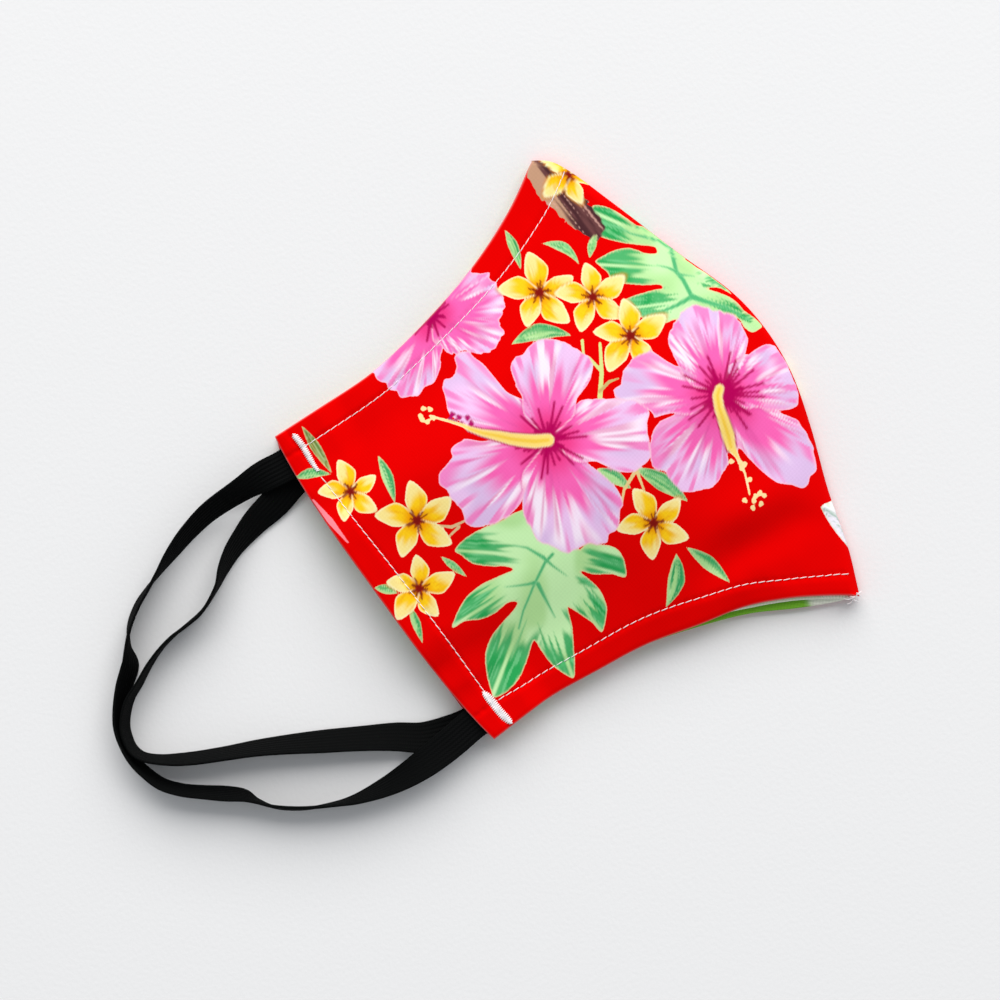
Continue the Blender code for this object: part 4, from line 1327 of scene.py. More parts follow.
@dataclass
class OuterPanel:
    """One printed outer panel: the skin that shows, its rolled hems and the edge turned under."""

    half: Half
    finish: Material
    motifs: tuple
    steps_out: int = 316
    steps_along: int = 276
    # Plan distance that a step of s covers at the ear edge, as a share of the depth.
    ear_stretch: float = 0.92
    hem_roll: float = 0.0005
    turned_under: float = 0.0048
    roll_rings: int = 8
    flat_rings: int = 2
    seam_tuck: float = 0.0007
    allowance_tuck: float = 0.0012
    seam_apart: float = 0.00004
    stitch_pitch: float = 0.0021
    groove_depth: float = 0.00026
    # The far panel's rows lie in deeper grooves, so that its threads stay clear of the floor.
    far_groove_extra: float = 0.00022
    groove_half_width: float = 0.0006
    pucker_height: float = 0.00022
    pucker_length: float = 0.0042
    pucker_half_width: float = 0.0034
    hem_puff: float = 0.00016
    hem_rise: float = 0.0014
    hem_fall: float = 0.0016
    far_tack_dent: float = 0.0004
    tack_dent_rim: float = 1.3
    # Height, size and noise seed of the broad swells and of the small ones.
    swells: tuple = ((0.00030, 0.026, 2.0), (0.00010, 0.0085, 3.0))
    deepest: float = -0.0005
    piece: Piece = field(init=False)

    @property
    def far(self) -> bool:
        """True for the half below."""
        return self.half is Half.FAR

    @property
    def side(self) -> int:
        """1 where the printed side faces up, and -1 where it faces down."""
        return -1 if self.far else 1

    @property
    def layer(self) -> int:
        """The panel's place in the stack."""
        return 0 if self.far else 3

    @property
    def seam_share(self) -> float:
        """Share of the depth over which the cloth turns into the seam."""
        return SHAPE.seam_turn / SHAPE.depth

    def ease(self, x: Array, y: Array, s: Array, t: Array) -> Array:
        """Small swells and dips of the finished cloth: stitch grooves, puffed hems and puckers.

        Args:
            x: Plan distance from the ear edge.
            y: Plan distance from its middle.
            s: Share of the way from ear edge to seam.
            t: Share of the way from chin to nose.

        Returns:
            Height over the plain surface.
        """
        unit_top = (1 - SHAPE.hem_share(s, MM, True, self.far)) / MM
        unit_bottom = SHAPE.hem_share(s, MM, False, self.far) / MM
        edge = SHAPE.ear_edge(t, self.far)[0]
        rows = (
            ((1 - t) / unit_top, smooth(*zip(*TOP_ROW), s) * MM, x),
            (t / unit_bottom, smooth(*zip(*BOTTOM_ROW), s) * MM, x),
            (x - edge, smooth(*zip(*EAR_ROW), y / MM) * MM - edge, y),
        )
        total = np.zeros(x.shape)
        for number, (inside, inset, along) in enumerate(rows):
            away = inside - inset
            beat = 0.72 + 0.28 * np.cos(2 * math.pi * along / self.stitch_pitch)
            depth = self.groove_depth * beat + (self.far_groove_extra if self.far else 0.0)
            total -= depth * np.exp(-((away / self.groove_half_width) ** 2))
            pull = noise(along / self.pucker_length, 0.3 * number + 0.5, 5.0 + number) - 0.5
            total += self.pucker_height * pull * np.exp(-((away / self.pucker_half_width) ** 2))
            hem = ramp(inside, 0.0, self.hem_rise) * ramp(inside, inset, inset - self.hem_fall)
            total += self.hem_puff * hem
        for (x0, y0), (x1, y1), width in TACKS if self.far else ():
            dx, dy = (x1 - x0) * MM, (y1 - y0) * MM
            share = np.clip(((x - x0 * MM) * dx + (y - y0 * MM) * dy) / (dx**2 + dy**2), 0, 1)
            away = np.hypot(x - x0 * MM - share * dx, y - y0 * MM - share * dy)
            total -= self.far_tack_dent * ramp(away, (width / 2 + self.tack_dent_rim) * MM, width / 2 * MM)
        for height, size, seed in self.swells:
            total += height * (noise(x / size, y / size, seed) - 0.5)
        return np.minimum(total, 0.0) if self.far else np.maximum(total, self.deepest)

    def surface(self, s: Array, t: Array) -> Array:
        """Finished skin of the printed side, away from its rolled edges."""
        x, y = SHAPE.plan(s, t, self.far)
        z = SHAPE.sheet_height(self.layer, s, t, x, y) + self.side * (self.hem_roll + self.ease(x, y, s, t))
        return np.stack([x - SHAPE.depth / 2, y, z], axis=-1)

    def edge_loop(self, hem_inset: float, seam_s: float) -> tuple[Array, Array]:
        """s and t round the panel, this far inside its hems.

        Args:
            hem_inset: Distance from the ear edge and the two hems.
            seam_s: s of the side along the seam.

        Returns:
            s and t of each point: ear edge, nose hem, seam and chin hem, in this order.
        """
        s_low = hem_inset / (SHAPE.depth * self.ear_stretch)
        out, along = lerp(s_low, seam_s, even_shares(self.steps_out)), even_shares(self.steps_along)
        low, high = (SHAPE.hem_share(out, hem_inset, top, self.far) for top in (False, True))
        sides = (
            (np.full(self.steps_along, s_low), lerp(low[0], high[0], along[:-1])),
            (out[:-1], high[:-1]),
            (np.full(self.steps_along, seam_s), lerp(low[-1], high[-1], along[::-1][:-1])),
            (out[::-1][:-1], low[::-1][:-1]),
        )
        return np.concatenate([p[0] for p in sides]), np.concatenate([p[1] for p in sides])

    def build(self) -> None:
        """Make the panel."""
        s_low = self.hem_roll / (SHAPE.depth * self.ear_stretch)
        out = lerp(s_low, 1 - self.seam_share, even_shares(self.steps_out))
        low, high = (SHAPE.hem_share(out, self.hem_roll, top, self.far) for top in (False, True))
        t = lerp(low[:, None], high[:, None], even_shares(self.steps_along)[None, :])
        skin = self.surface(np.repeat(out, self.steps_along + 1), t.ravel())
        _, quads, border = grid_faces(self.steps_out + 1, self.steps_along + 1)
        points, cloth, rim, faces = [skin], [skin[:, :2]], [np.zeros(len(skin))], [quads]
        edge = skin[border]
        outward = self.outward(edge[:, :2])
        ears = self.steps_along + self.steps_out
        on_seam = np.zeros(len(border), bool)
        on_seam[ears : ears + self.steps_along + 1] = True
        shares = self.edge_loop(self.hem_roll, 1 - self.seam_share)
        plain = SHAPE.sheet_height(self.layer, *shares, edge[:, 0] + SHAPE.depth / 2, edge[:, 1])
        ease = edge[:, 2] - plain - self.side * self.hem_roll
        previous = border
        for step in range(1, self.roll_rings + self.flat_rings + 1):
            fresh = len(skin) + (step - 1) * len(border) + np.arange(len(border))
            points.append(self.ring(step, on_seam.astype(float), outward, ease))
            faces.append(ring_faces(previous, fresh))
            previous = fresh
            roll = min(step, self.roll_rings) / self.roll_rings * math.pi
            seam_travel = (SHAPE.seam_turn + self.hem_roll) * min(roll, math.pi / 2)
            travel = np.where(on_seam, seam_travel, self.hem_roll * roll)
            cloth.append(edge[:, :2] + outward * travel[:, None])
            # Pale rim of wear and painted highlight: strongest on the roll's outer face, fading under it.
            fading = min(max(step / self.roll_rings - 0.4, 0.0) / 0.3, 1.0)
            edge_wear_and_highlight = min(max(step - 0.8, 0.0) / 2, 1.0) * (1.0 - 0.7 * fading)
            rim.append(np.where(on_seam, 0.0, edge_wear_and_highlight))
        if self.far:
            faces = [f[:, ::-1] for f in faces]
        name = f"outer_{self.half.value}"
        self.piece = new_piece(f"{name}_cloth", np.concatenate(points), faces, self.finish)
        self.print_on(np.concatenate(cloth))
        keep_values(self.piece, "rim", np.concatenate(rim))
        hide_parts(name)

    def outward(self, line: Array) -> Array:
        """Unit directions out of the panel's outline at each point of its border, in plan."""
        tangent = np.roll(line, -1, axis=0) - np.roll(line, 1, axis=0)
        normal = np.stack([-tangent[:, 1], tangent[:, 0]], axis=-1)
        normal /= np.linalg.norm(normal, axis=1, keepdims=True)
        flip = np.sign(np.sum(normal * (line - line.mean(axis=0)), axis=1))
        return normal * flip[:, None]

    def ring(self, step: int, seam_weight: Array, outward: Array, ease: Array) -> Array:
        """One ring of the rolled edge.

        Args:
            step: The ring's number, from 1. Those after the roll lie flat under the cloth.
            seam_weight: 1 along the centre seam and 0 along the hems.
            outward: Directions out of the outline.
            ease: Height of the skin's swells and dips at the border.

        Returns:
            The ring's vertices.
        """
        side, right_angle = self.side, math.pi / 2
        flat = max(step - self.roll_rings, 0) / self.flat_rings
        roll = min(step, self.roll_rings) / self.roll_rings * math.pi
        turn, beyond = min(roll, right_angle), max(roll - right_angle, 0.0) / right_angle
        hem_inset = self.hem_roll * (1 - math.sin(roll)) + flat * self.turned_under
        s, t = self.edge_loop(hem_inset, 1 - self.seam_share * (1 - math.sin(turn)))
        x, y = SHAPE.plan(s, t, self.far)
        z = SHAPE.sheet_height(self.layer, s, t, x, y)
        hem_z = z + side * self.hem_roll * math.cos(roll) + ease * max(math.cos(roll / 2), 0.0)
        seam_z = z - side * SHAPE.seam_turn * (1 - math.cos(turn)) + side * self.hem_roll * math.cos(turn)
        seam_z = lerp(seam_z, SHAPE.stack / 2 + side * self.seam_apart, beyond)
        tuck = lerp(0.0, self.seam_tuck, beyond) + flat * self.allowance_tuck
        hem_plan = np.stack([x, y], axis=-1)
        seam_plan = hem_plan + self.hem_roll * math.sin(turn) * outward - tuck * outward
        plan = lerp(hem_plan, seam_plan, seam_weight[:, None])
        height = lerp(hem_z, seam_z, seam_weight)
        return np.stack([plan[:, 0] - SHAPE.depth / 2, plan[:, 1], height], axis=-1)

    def print_on(self, cloth: Array) -> None:
        """Lay the print on the flat cloth and store it on the piece."""
        u, v = (cloth[:, 0] + SHAPE.depth / 2) / MM, cloth[:, 1] / MM
        right, up = turned(u, v, 0.0 if self.far else -PRINT_TURN)
        canvas = PrintCanvas(right, up)
        for motif in self.motifs:
            motif.paint(canvas)
        opaque, level = np.ones((len(right), 1)), np.zeros(len(right))
        keep_values(self.piece, "print_colour", np.concatenate([canvas.colour, opaque], axis=1))
        keep_values(self.piece, "print_cover", np.clip(canvas.cover, -canvas.margin, canvas.margin))
        keep_values(self.piece, "cloth", np.stack([right, up, level], axis=-1))

    def stitch_line(self, which: str, samples: int = 500) -> tuple[Array, Array]:
        """s and t along one row of topstitching.

        Args:
            which: top, bottom or ear.
            samples: Points along it.

        Returns:
            s and t.
        """
        share = np.linspace(0, 1, samples)
        if which == "ear":
            v = lerp(-36.0, 32.0, share)
            return SHAPE.place(smooth(*zip(*EAR_ROW), v) * MM, v * MM, self.far)
        s = lerp(0.045, 1 - 0.1 * self.seam_share, share)
        inset = smooth(*zip(*(TOP_ROW if which == "top" else BOTTOM_ROW)), s) * MM
        return s, SHAPE.hem_share(s, inset, which == "top", self.far)


@dataclass
class LiningPanel:
    """One lining panel: a thin closed sheet with a rounded rim, inside the outer one."""

    half: Half
    finish: Material
    steps_out: int = 110
    steps_along: int = 100
    hem_inset: float = 0.0006
    # How far inside the chin hem it ends where it shows, which is below 0 beyond the hem.
    peek: float = -0.00015
    peek_from: float = 0.35
    seam_inset: float = 0.0025
    rim_steps: int = 3
    piece: Piece = field(init=False)

    @property
    def far(self) -> bool:
        """True for the half below."""
        return self.half is Half.FAR

    def build(self) -> None:
        """Make the panel."""
        roll = SHAPE.wall / 2
        number, quads, border = grid_faces(self.steps_out + 1, self.steps_along + 1)
        points = [self.grid(roll, roll), self.grid(roll, -roll)]
        faces = [quads, quads[:, ::-1] + number.size]
        rings = [border]
        for k in range(1, self.rim_steps):
            angle = math.pi * k / self.rim_steps
            points.append(self.grid(roll * (1 - math.sin(angle)), roll * math.cos(angle))[border])
            rings.append(2 * number.size + (k - 1) * len(border) + np.arange(len(border)))
        rings.append(border + number.size)
        faces += [ring_faces(first, second) for first, second in zip(rings, rings[1:])]
        cloud = np.concatenate(points)
        name = f"lining_{self.half.value}"
        self.piece = new_piece(f"{name}_cloth", cloud, faces, self.finish)
        cloth = np.stack([cloud[:, 0] / MM, cloud[:, 1] / MM, np.zeros(len(cloud))], axis=-1)
        keep_values(self.piece, "cloth", cloth)
        keep_values(self.piece, "white_fold", self.white_fold(number, len(border)))
        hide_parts(name)

    def white_fold(self, number: Array, ring: int) -> Array:
        """Where the folded chin hem shows the white of the lining's print.

        Args:
            number: Numbers of the points of its upper grid.
            ring: How many points each ring of its rim has.

        Returns:
            0 to 1 at each of its points.
        """
        out = even_shares(self.steps_out)
        ragged = out + 0.10 * (noise(out * 26, 0.5, 3.0) - 0.5)
        share = ramp(out, 0.895, 0.915) if self.far else ramp(ragged, 0.45, 0.62)
        grid = np.zeros(number.shape)
        for column, part in enumerate((1.0, 1.0, 1.0, 0.8) if self.far else (0.7,)):
            grid[:, column] = share * part
        rim = np.zeros(ring)
        rim[-self.steps_out :] = share[::-1][:-1]
        return np.concatenate([grid.ravel()] * 2 + [rim] * (self.rim_steps - 1))

    def grid(self, inset: float, rise: float) -> Array:
        """Grid of the lining's outline less an inset, at a rise from its middle surface."""
        first, last = self.hem_inset + inset, self.seam_inset + inset
        s = lerp(first / SHAPE.depth, 1 - last / SHAPE.depth, even_shares(self.steps_out))
        under_chin = lerp(self.hem_inset, self.peek, ramp(s, self.peek_from, self.peek_from + 0.15))
        low = SHAPE.hem_share(s, under_chin + inset, False, self.far)
        high = SHAPE.hem_share(s, self.hem_inset + inset, True, self.far)
        t = lerp(low[:, None], high[:, None], even_shares(self.steps_along)[None, :]).ravel()
        s = np.repeat(s, self.steps_along + 1)
        x, y = SHAPE.plan(s, t, self.far)
        z = SHAPE.sheet_height(1 if self.far else 2, s, t, x, y) + rise
        return np.stack([x - SHAPE.depth / 2, y, z], axis=-1)


@dataclass
class Topstitching:
    """Rows of white lockstitches round one outer panel, each stitch its own short thread."""

    panel: OuterPanel
    finish: Material
    thread_radius: float = 0.00011
    gaps: tuple = (("top", 0.00012), ("bottom", 0.00032), ("ear", 0.00004))
    wobble: float = 0.00010
    slant: float = 0.00008
    # Along one stitch: its thickness, and its height over the cloth in thread radii.
    thickness: tuple = (0.6, 0.95, 1.0, 1.0, 1.0, 0.95, 0.6)
    rise: tuple = (-0.3, 0.7, 1.1, 1.3, 1.1, 0.7, -0.3)
    piece: Piece = field(init=False)

    def build(self) -> None:
        """Make the stitches."""
        paths = [self.row(which, gap) for which, gap in self.gaps]
        points, faces = tubes(np.concatenate(paths), self.thread_radius * np.array(self.thickness), 8)
        name = f"topstitch_{self.panel.half.value}"
        self.piece = new_piece(name, points, [faces], self.finish)

    def row(self, which: str, gap: float) -> Array:
        """Paths of the stitches of one row, with this gap between them."""
        panel, pitch, steps = self.panel, self.panel.stitch_pitch, len(self.rise)
        s, t = panel.stitch_line(which)
        lengths = run_length(panel.surface(s, t)[:, :2])
        count = int(lengths[-1] / pitch)
        starts = (lengths[-1] - count * pitch) / 2 + pitch * np.arange(count)
        at = (starts[:, None] + gap / 2 + np.linspace(0, 1, steps)[None, :] * (pitch - gap)).ravel()
        path = panel.surface(np.interp(at, lengths, s), np.interp(at, lengths, t)).reshape(count, steps, 3)
        wobble = self.wobble * (noise(np.arange(count) * 0.7, 0.5, 8.0) - 0.5)
        rise = np.array(self.rise) * self.thread_radius
        path[:, :, 2] += panel.side * rise[None, :] + panel.side * wobble[:, None]
        if panel.far:
            path[:, :, 2] = np.maximum(path[:, :, 2], self.thread_radius + THREAD_CLEARANCE)
        slant = self.slant * np.linspace(-1, 1, steps)
        ahead = path[:, -1, :2] - path[:, 0, :2]
        ahead /= np.linalg.norm(ahead, axis=1, keepdims=True)
        path[:, :, 0] += -ahead[:, 1:2] * slant[None, :]
        path[:, :, 1] += ahead[:, 0:1] * slant[None, :]
        return path


@dataclass
class BarTacks:
    """Two dense zigzag tacks that hold the elastic's ends, one at each ear corner of a panel."""

    panel: OuterPanel
    finish: Material
    thread_radius: float = 0.00017
    pass_pitch: float = 0.00025
    # How high each pass arches over its ends, how deep those lie, and how far the tack bends.
    arch: float = 0.00036
    sunk: float = 0.00010
    drift: float = 0.0002
    thickness: tuple = (0.6, 0.9, 1, 1, 1, 1, 1, 0.9, 0.6)
    piece: Piece = field(init=False)

    def build(self) -> None:
        """Make both tacks."""
        clouds, faces, start = [], [], 0
        for number, (first, last, width) in enumerate(TACKS):
            points, quads = self.tack(number, np.array(first) * MM, np.array(last) * MM, width * MM)
            clouds.append(points)
            faces.append(quads + start)
            start += len(points)
        name = f"bar_tacks_{self.panel.half.value}"
        self.piece = new_piece(name, np.concatenate(clouds), faces, self.finish)

    def tack(self, number: int, first: Array, last: Array, width: float) -> tuple[Array, Array]:
        """Threads of one tack.

        Args:
            number: Which tack: the first tapers towards its far end, the other is blunt at both.
            first: Its one end.
            last: Its other end.
            width: Across it.

        Returns:
            Vertices, and faces of four corners.
        """
        panel, steps = self.panel, len(self.thickness)
        length = math.dist(first, last)
        ahead = (last - first) / length
        across = np.array((-ahead[1], ahead[0]))
        passes = int(length / self.pass_pitch)
        order = np.arange(passes)
        share = order / (passes - 1)
        if number == 0:
            taper = ramp(share, -0.02, 0.06) * lerp(1.0, 0.62, ramp(share, 0.55, 1.0))
        else:
            taper = np.sqrt(1.03 - np.abs(2 * share - 1) ** 5)
        reach = width / 2 * taper * (0.96 + 0.08 * noise(order * 0.6, 0.5, 4.0 + number))
        side = np.linspace(-1, 1, steps)
        zigzag = np.where(order % 2 == 0, 1.0, -1.0)
        along = share[:, None] * length + zigzag[:, None] * side[None, :] * self.pass_pitch * 0.5
        off = side[None, :] * reach[:, None] + self.drift * np.sin(order * 0.13 + number)[:, None]
        place = first + along[..., None] * ahead + off[..., None] * across
        s, t = SHAPE.place(place[..., 0].ravel(), place[..., 1].ravel(), panel.far)
        path = panel.surface(s, t).reshape(passes, steps, 3)
        arch = (1 - side**4) * self.arch - self.sunk
        path[:, :, 2] += panel.side * (arch[None, :] + 0.00002 * (order % 2)[:, None])
        if panel.far:
            path[:, :, 2] = np.maximum(path[:, :, 2], self.thread_radius + THREAD_CLEARANCE)
        return tubes(path, self.thread_radius * np.array(self.thickness), 8)


@dataclass
class LooseThreads:
    """A small tuft of frayed white threads at the chin end of the centre seam."""

    finish: Material
    centre: tuple = (93.6, -70.2)
    height: float = 0.0046
    fall: float = 0.0012
    count: int = 14
    reach: float = 0.0024
    thread_radius: float = 0.00010
    thickness: tuple = (1, 1, 1, 1, 1, 1, 1, 0.9, 0.6)
    piece: Piece = field(init=False)

    def build(self) -> None:
        """Make the tuft."""
        order, share = np.arange(self.count)[:, None], np.linspace(0, 1, len(self.thickness))[None, :]
        turn = lerp(-2.9, 0.3, (order * 0.618) % 1.0) + 0.8 * np.sin(order * 2.3) * share
        length = self.reach * (0.45 + 0.55 * ((order * 0.377) % 1.0))
        x = self.centre[0] * MM - SHAPE.depth / 2 + 0.0009 * np.sin(order * 1.9)
        y = self.centre[1] * MM + 0.0005 * np.cos(order * 1.3)
        z = self.height - self.fall * share + 0.0002 * (order % 5)
        paths = np.stack([x + length * share * np.cos(turn), y + length * share * np.sin(turn), z], axis=-1)
        points, faces = tubes(paths, self.thread_radius * np.array(self.thickness), 6)
        self.piece = new_piece("loose_threads_chin", points, [faces], self.finish)


@dataclass
class ElasticLoop:
    """One ear loop of flat ribbed elastic, on the CAD route."""

    half: Half
    finish: Material
    stations: tuple
    length: float
    rings: int = 380
    rib_pitch: float = 0.001
    rib_height: float = 0.00007
    # How far the ribs' middle lies inside the CAD band's surface.
    rib_room: float = 0.00002
    piece: Piece = field(init=False)

    @property
    def exit_height(self) -> float:
        """Height of the band's middle where it leaves the mask."""
        far_exit = SHAPE.wall + SHAPE.gap + SHAPE.band_thickness / 2
        return far_exit if self.half is Half.FAR else far_exit + SHAPE.pocket_rise + 2 * SHAPE.step

    def route(self) -> tuple[Array, Array]:
        """Points along the band's middle line, and its roll at each."""
        rows = []
        for out, along, degrees, lift in self.stations:
            roll = math.radians(degrees)
            stand = SHAPE.band_width / 2 * abs(math.sin(roll))
            stand = stand + SHAPE.band_thickness / 2 * abs(math.cos(roll))
            lying = SHAPE.band_thickness / 2 + SHAPE.floor_gap
            height = stand + SHAPE.floor_gap + lift * (self.exit_height - lying)
            rows.append((-out * SHAPE.loop_reach - SHAPE.depth / 2, along * SHAPE.exit, height, roll))
        inside = SHAPE.tail - SHAPE.depth / 2
        start, end = rows[0], rows[-1]
        head = [(inside, *start[1:]), ((inside + start[0]) / 2, *start[1:])]
        foot = [((inside + end[0]) / 2, *end[1:]), (inside, *end[1:])]
        table = np.array(head + rows + foot)
        stops = run_length(table[:, :3])
        at = np.linspace(0, stops[-1], self.rings)
        columns = [smooth(stops, table[:, i], at) for i in range(4)]
        return np.stack(columns[:3], axis=-1), columns[3]

    def section(self) -> tuple[Array, Array]:
        """Across and through coordinates of the ribbed section, in order round it."""
        half = SHAPE.band_width / 2
        thick = SHAPE.band_thickness / 2 - self.rib_room
        across = np.linspace(-half + thick, half - thick, 47)
        ribs = self.rib_height * np.cos(2 * math.pi * across / self.rib_pitch)
        angle = np.linspace(-math.pi / 2, math.pi / 2, 6)[1:-1]
        right = (half - thick + thick * np.cos(angle), thick * np.sin(angle))
        wide = np.concatenate([across, right[0], across[::-1], -right[0]])
        deep = np.concatenate([-(thick + ribs), right[1], (thick + ribs)[::-1], -right[1]])
        return wide, deep

    def build(self) -> None:
        """Make the loop."""
        line, roll = self.route()
        ahead = np.gradient(line, axis=0)
        ahead /= np.linalg.norm(ahead, axis=1, keepdims=True)
        outer = np.cross(ahead, [0.0, 0.0, 1.0])
        outer /= np.linalg.norm(outer, axis=1, keepdims=True)
        upper = np.cross(outer, ahead)
        cosine, sine = np.cos(roll)[:, None], np.sin(roll)[:, None]
        wide, deep = outer * cosine + upper * sine, upper * cosine - outer * sine
        across, through = self.section()
        count = len(across)
        section = wide[:, None] * across[None, :, None], deep[:, None] * through[None, :, None]
        points = line[:, None] + section[0] + section[1]
        number = np.arange(self.rings * count).reshape(self.rings, count)
        faces = [ring_faces(number[:-1], number[1:]), number[0][::-1][None, :], number[-1][None, :]]
        name = f"ear_loop_{self.half.value}"
        self.piece = new_piece(f"{name}_elastic", points.reshape(-1, 3), faces, self.finish)
        run = run_length(line)
        place = [np.repeat(run / MM, count), *(np.tile(c / MM, self.rings) for c in (across, through))]
        keep_values(self.piece, "band", np.stack(place, axis=-1))
        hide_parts(name)
        LOG.info("%s follows %.4f m", name, run[-1])


# Out, along, roll and lift of each station, from nose side to chin side, as part.py has them.
NEAR_ROUTE = (
    (0.03, 1.00, 0, 1.00), (0.10, 1.02, 14, 0.95), (0.18, 1.035, 42, 0.55), (0.32, 1.045, 56, 0.10),
    (0.42, 1.015, 65, 0.0), (0.50, 0.97, 74, 0.0), (0.58, 0.915, 89, 0.0), (0.63, 0.88, 98, 0.0),
    (0.694, 0.83, 103, 0.0), (0.755, 0.75, 101, 0.0), (0.799, 0.65, 88, 0.0), (0.828, 0.55, 66, 0.0),
    (0.883, 0.465, 67, 0.0), (0.942, 0.366, 78, 0.0), (0.977, 0.268, 80, 0.0), (0.996, 0.150, 81, 0.0),
    (1.00, 0.040, 80, 0.0), (0.992, -0.06, 79, 0.0), (0.971, -0.18, 77, 0.0), (0.929, -0.285, 75, 0.0),
    (0.880, -0.37, 73, 0.0), (0.818, -0.47, 70, 0.0), (0.775, -0.545, 76, 0.0), (0.750, -0.625, 91, 0.0),
    (0.714, -0.72, 98, 0.0), (0.643, -0.83, 98, 0.0), (0.552, -0.925, 90, 0.0), (0.475, -0.985, 77, 0.0),
    (0.37, -1.03, 56, 0.10), (0.24, -1.048, 29, 0.75), (0.125, -1.042, 10, 1.00), (0.03, -1.028, 0, 1.00),
)
FAR_ROUTE = (
    (0.03, 0.896, 0, 1.0), (0.13, 0.85, 18, 0.3), (0.215, 0.825, 38, 0.0), (0.283, 0.79, 54, 0.0),
    (0.336, 0.755, 64, 0.0), (0.39, 0.70, 75, 0.0), (0.445, 0.63, 89, 0.0), (0.53, 0.56, 94, 0.0),
    (0.60, 0.545, 93, 0.0), (0.66, 0.54, 91, 0.0), (0.715, 0.52, 90, 0.0), (0.775, 0.48, 87, 0.0),
    (0.842, 0.418, 84, 0.0), (0.888, 0.382, 82, 0.0), (0.926, 0.328, 81, 0.0), (0.959, 0.255, 81, 0.0),
    (0.976, 0.178, 81, 0.0), (0.981, 0.103, 82, 0.0), (0.969, 0.033, 82, 0.0), (0.930, -0.045, 79, 0.0),
    (0.876, -0.12, 74, 0.0), (0.823, -0.18, 72, 0.0), (0.74, -0.262, 70, 0.0), (0.66, -0.338, 66, 0.0),
    (0.574, -0.43, 60, 0.0), (0.465, -0.557, 50, 0.0), (0.352, -0.692, 44, 0.0), (0.26, -0.81, 32, 0.0),
    (0.19, -0.915, 20, 0.1), (0.11, -0.98, 6, 0.7), (0.03, -1.018, 0, 1.0),
)


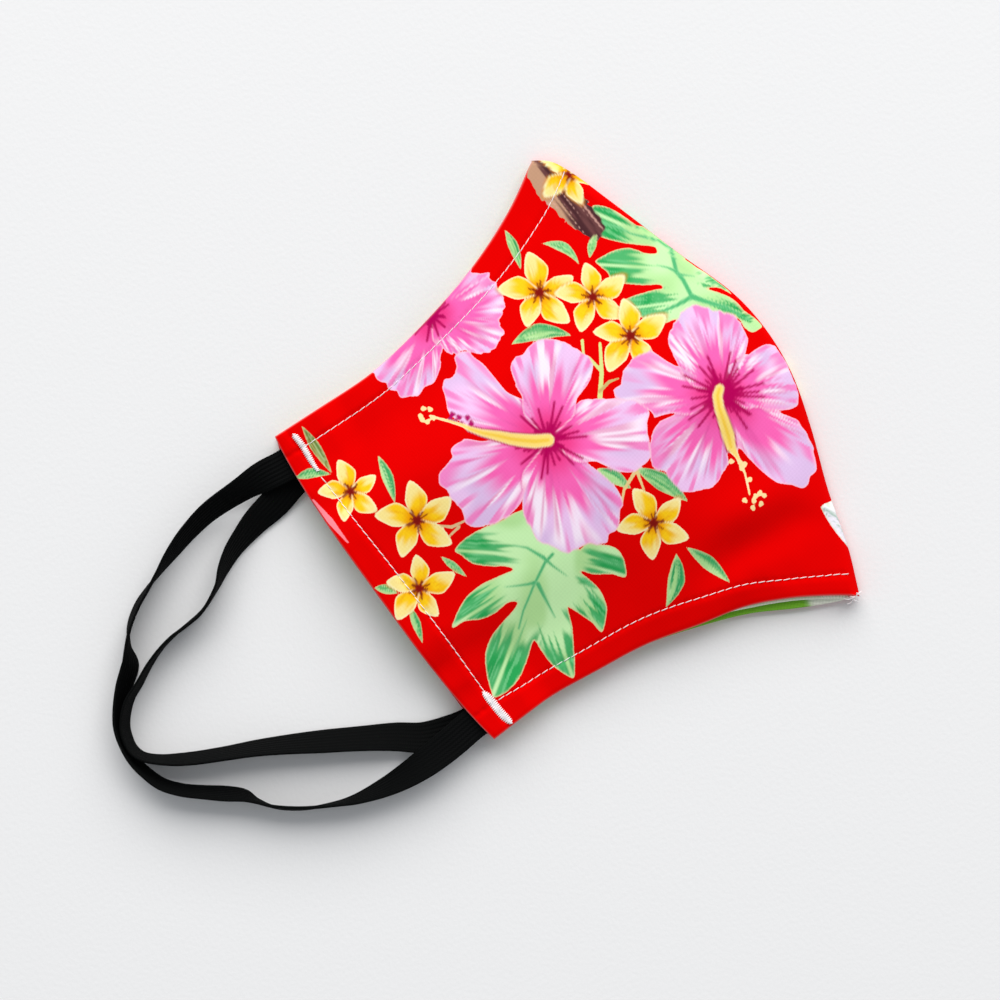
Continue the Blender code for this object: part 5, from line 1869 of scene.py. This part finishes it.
@dataclass
class Studio:
    """Pale floor, soft light and the camera over the mask."""

    picture_centre: tuple = (-0.0214, 0.00085)
    picture_width: float = 0.250
    camera_height: float = 0.70
    floor_colour: str = "#EEEEEF"
    floor_half: float = 2.5
    # One broad soft light, from the picture's top.
    light_from: float = math.atan2(0.77, 0.64)
    light_elevation: float = math.radians(40)
    light_distance: float = 3.2
    light_size: tuple = (3.0, 4.2)
    light_power: float = 141.0
    light_colour: tuple = (1.0, 0.985, 0.965)
    room_colour: tuple = (0.93, 0.965, 1.0, 1.0)
    room_strength: float = 0.42

    def camera(self) -> None:
        """Look straight down, turned as the photograph is."""
        data = bpy.data.cameras.new("camera")
        data.sensor_width = 36.0
        data.lens = data.sensor_width * self.camera_height / self.picture_width
        camera = bpy.data.objects.new("camera", data)
        camera.location = (*self.picture_centre, self.camera_height + 0.003)
        camera.rotation_euler = (0.0, 0.0, -PRINT_TURN)
        bpy.context.scene.collection.objects.link(camera)
        bpy.context.scene.camera = camera

    def floor(self) -> None:
        """Lay the pale floor."""
        mesh = bpy.data.meshes.new("floor")
        half = self.floor_half
        corners = [(-half, -half, 0), (half, -half, 0), (half, half, 0), (-half, half, 0)]
        mesh.from_pydata(corners, [], [(0, 1, 2, 3)])
        material = bpy.data.materials.new("primed_board")
        material.use_nodes = True
        tree = material.node_tree
        shader = tree.nodes["Principled BSDF"]
        place = add(tree, "TexCoord").outputs["Object"]
        grain = add(tree, "TexNoise", {"Vector": place, "Scale": 900.0, "Detail": 2.0})
        shader.inputs["Base Color"].default_value = (*linear(self.floor_colour), 1.0)
        shader.inputs["Roughness"].default_value = 0.9
        bump = add(tree, "Bump", {"Height": grain.outputs["Fac"], "Strength": 0.25, "Distance": 0.0002})
        tree.links.new(bump.outputs["Normal"], shader.inputs["Normal"])
        mesh.materials.append(material)
        floor = bpy.data.objects.new("floor", mesh)
        floor.location = (0.0, 0.0, -0.0001)
        bpy.context.scene.collection.objects.link(floor)

    def lights(self) -> None:
        """A broad soft light, from the picture's top, and a pale room."""
        data = bpy.data.lights.new("window", "AREA")
        data.shape = "RECTANGLE"
        data.size, data.size_y = self.light_size
        data.energy = self.light_power
        data.color = self.light_colour
        light = bpy.data.objects.new("window", data)
        out, up = math.cos(self.light_elevation), math.sin(self.light_elevation)
        toward = (out * math.cos(self.light_from), out * math.sin(self.light_from), up)
        light.location = tuple(self.light_distance * part for part in toward)
        light.rotation_euler = (0.0, math.pi / 2 - self.light_elevation, self.light_from)
        bpy.context.scene.collection.objects.link(light)
        world = bpy.data.worlds.new("room")
        world.use_nodes = True
        background = world.node_tree.nodes["Background"]
        background.inputs["Color"].default_value = self.room_colour
        background.inputs["Strength"].default_value = self.room_strength
        bpy.context.scene.world = world
        bpy.context.scene.view_settings.view_transform = "Standard"


def main() -> None:
    """Build the mask's pieces and the room."""
    logging.basicConfig(level=logging.INFO, format="%(message)s")
    studio = Studio()
    studio.camera()
    elastic = BraidedElastic().material()
    for half, route, length in ((Half.FAR, FAR_ROUTE, 0.194), (Half.NEAR, NEAR_ROUTE, 0.211)):
        loop = ElasticLoop(half, elastic, route, length)
        loop.build()
        LOG.info("built %s", loop.piece.name)
    cotton, lining, thread = PrintedPoplin().material(), LiningPoplin().material(), SewingThread().material()
    outers = [
        OuterPanel(Half.FAR, cotton, FAR_PRINT, 250, 220),
        OuterPanel(Half.NEAR, cotton, NEAR_PRINT),
    ]
    linings = [LiningPanel(Half.FAR, lining), LiningPanel(Half.NEAR, lining, peek=-0.0007, peek_from=0.62)]
    for panel in (*outers, *linings):
        panel.build()
        LOG.info("built %s", panel.piece.name)
    for panel in outers:
        threads = [Topstitching(panel, thread), BarTacks(panel, thread)]
        if panel.half is Half.NEAR:
            threads.append(LooseThreads(thread))
        for work in threads:
            work.build()
            LOG.info("sewed %s", work.piece.name)
    studio.floor()
    studio.lights()


if __name__ == "__main__":
    main()
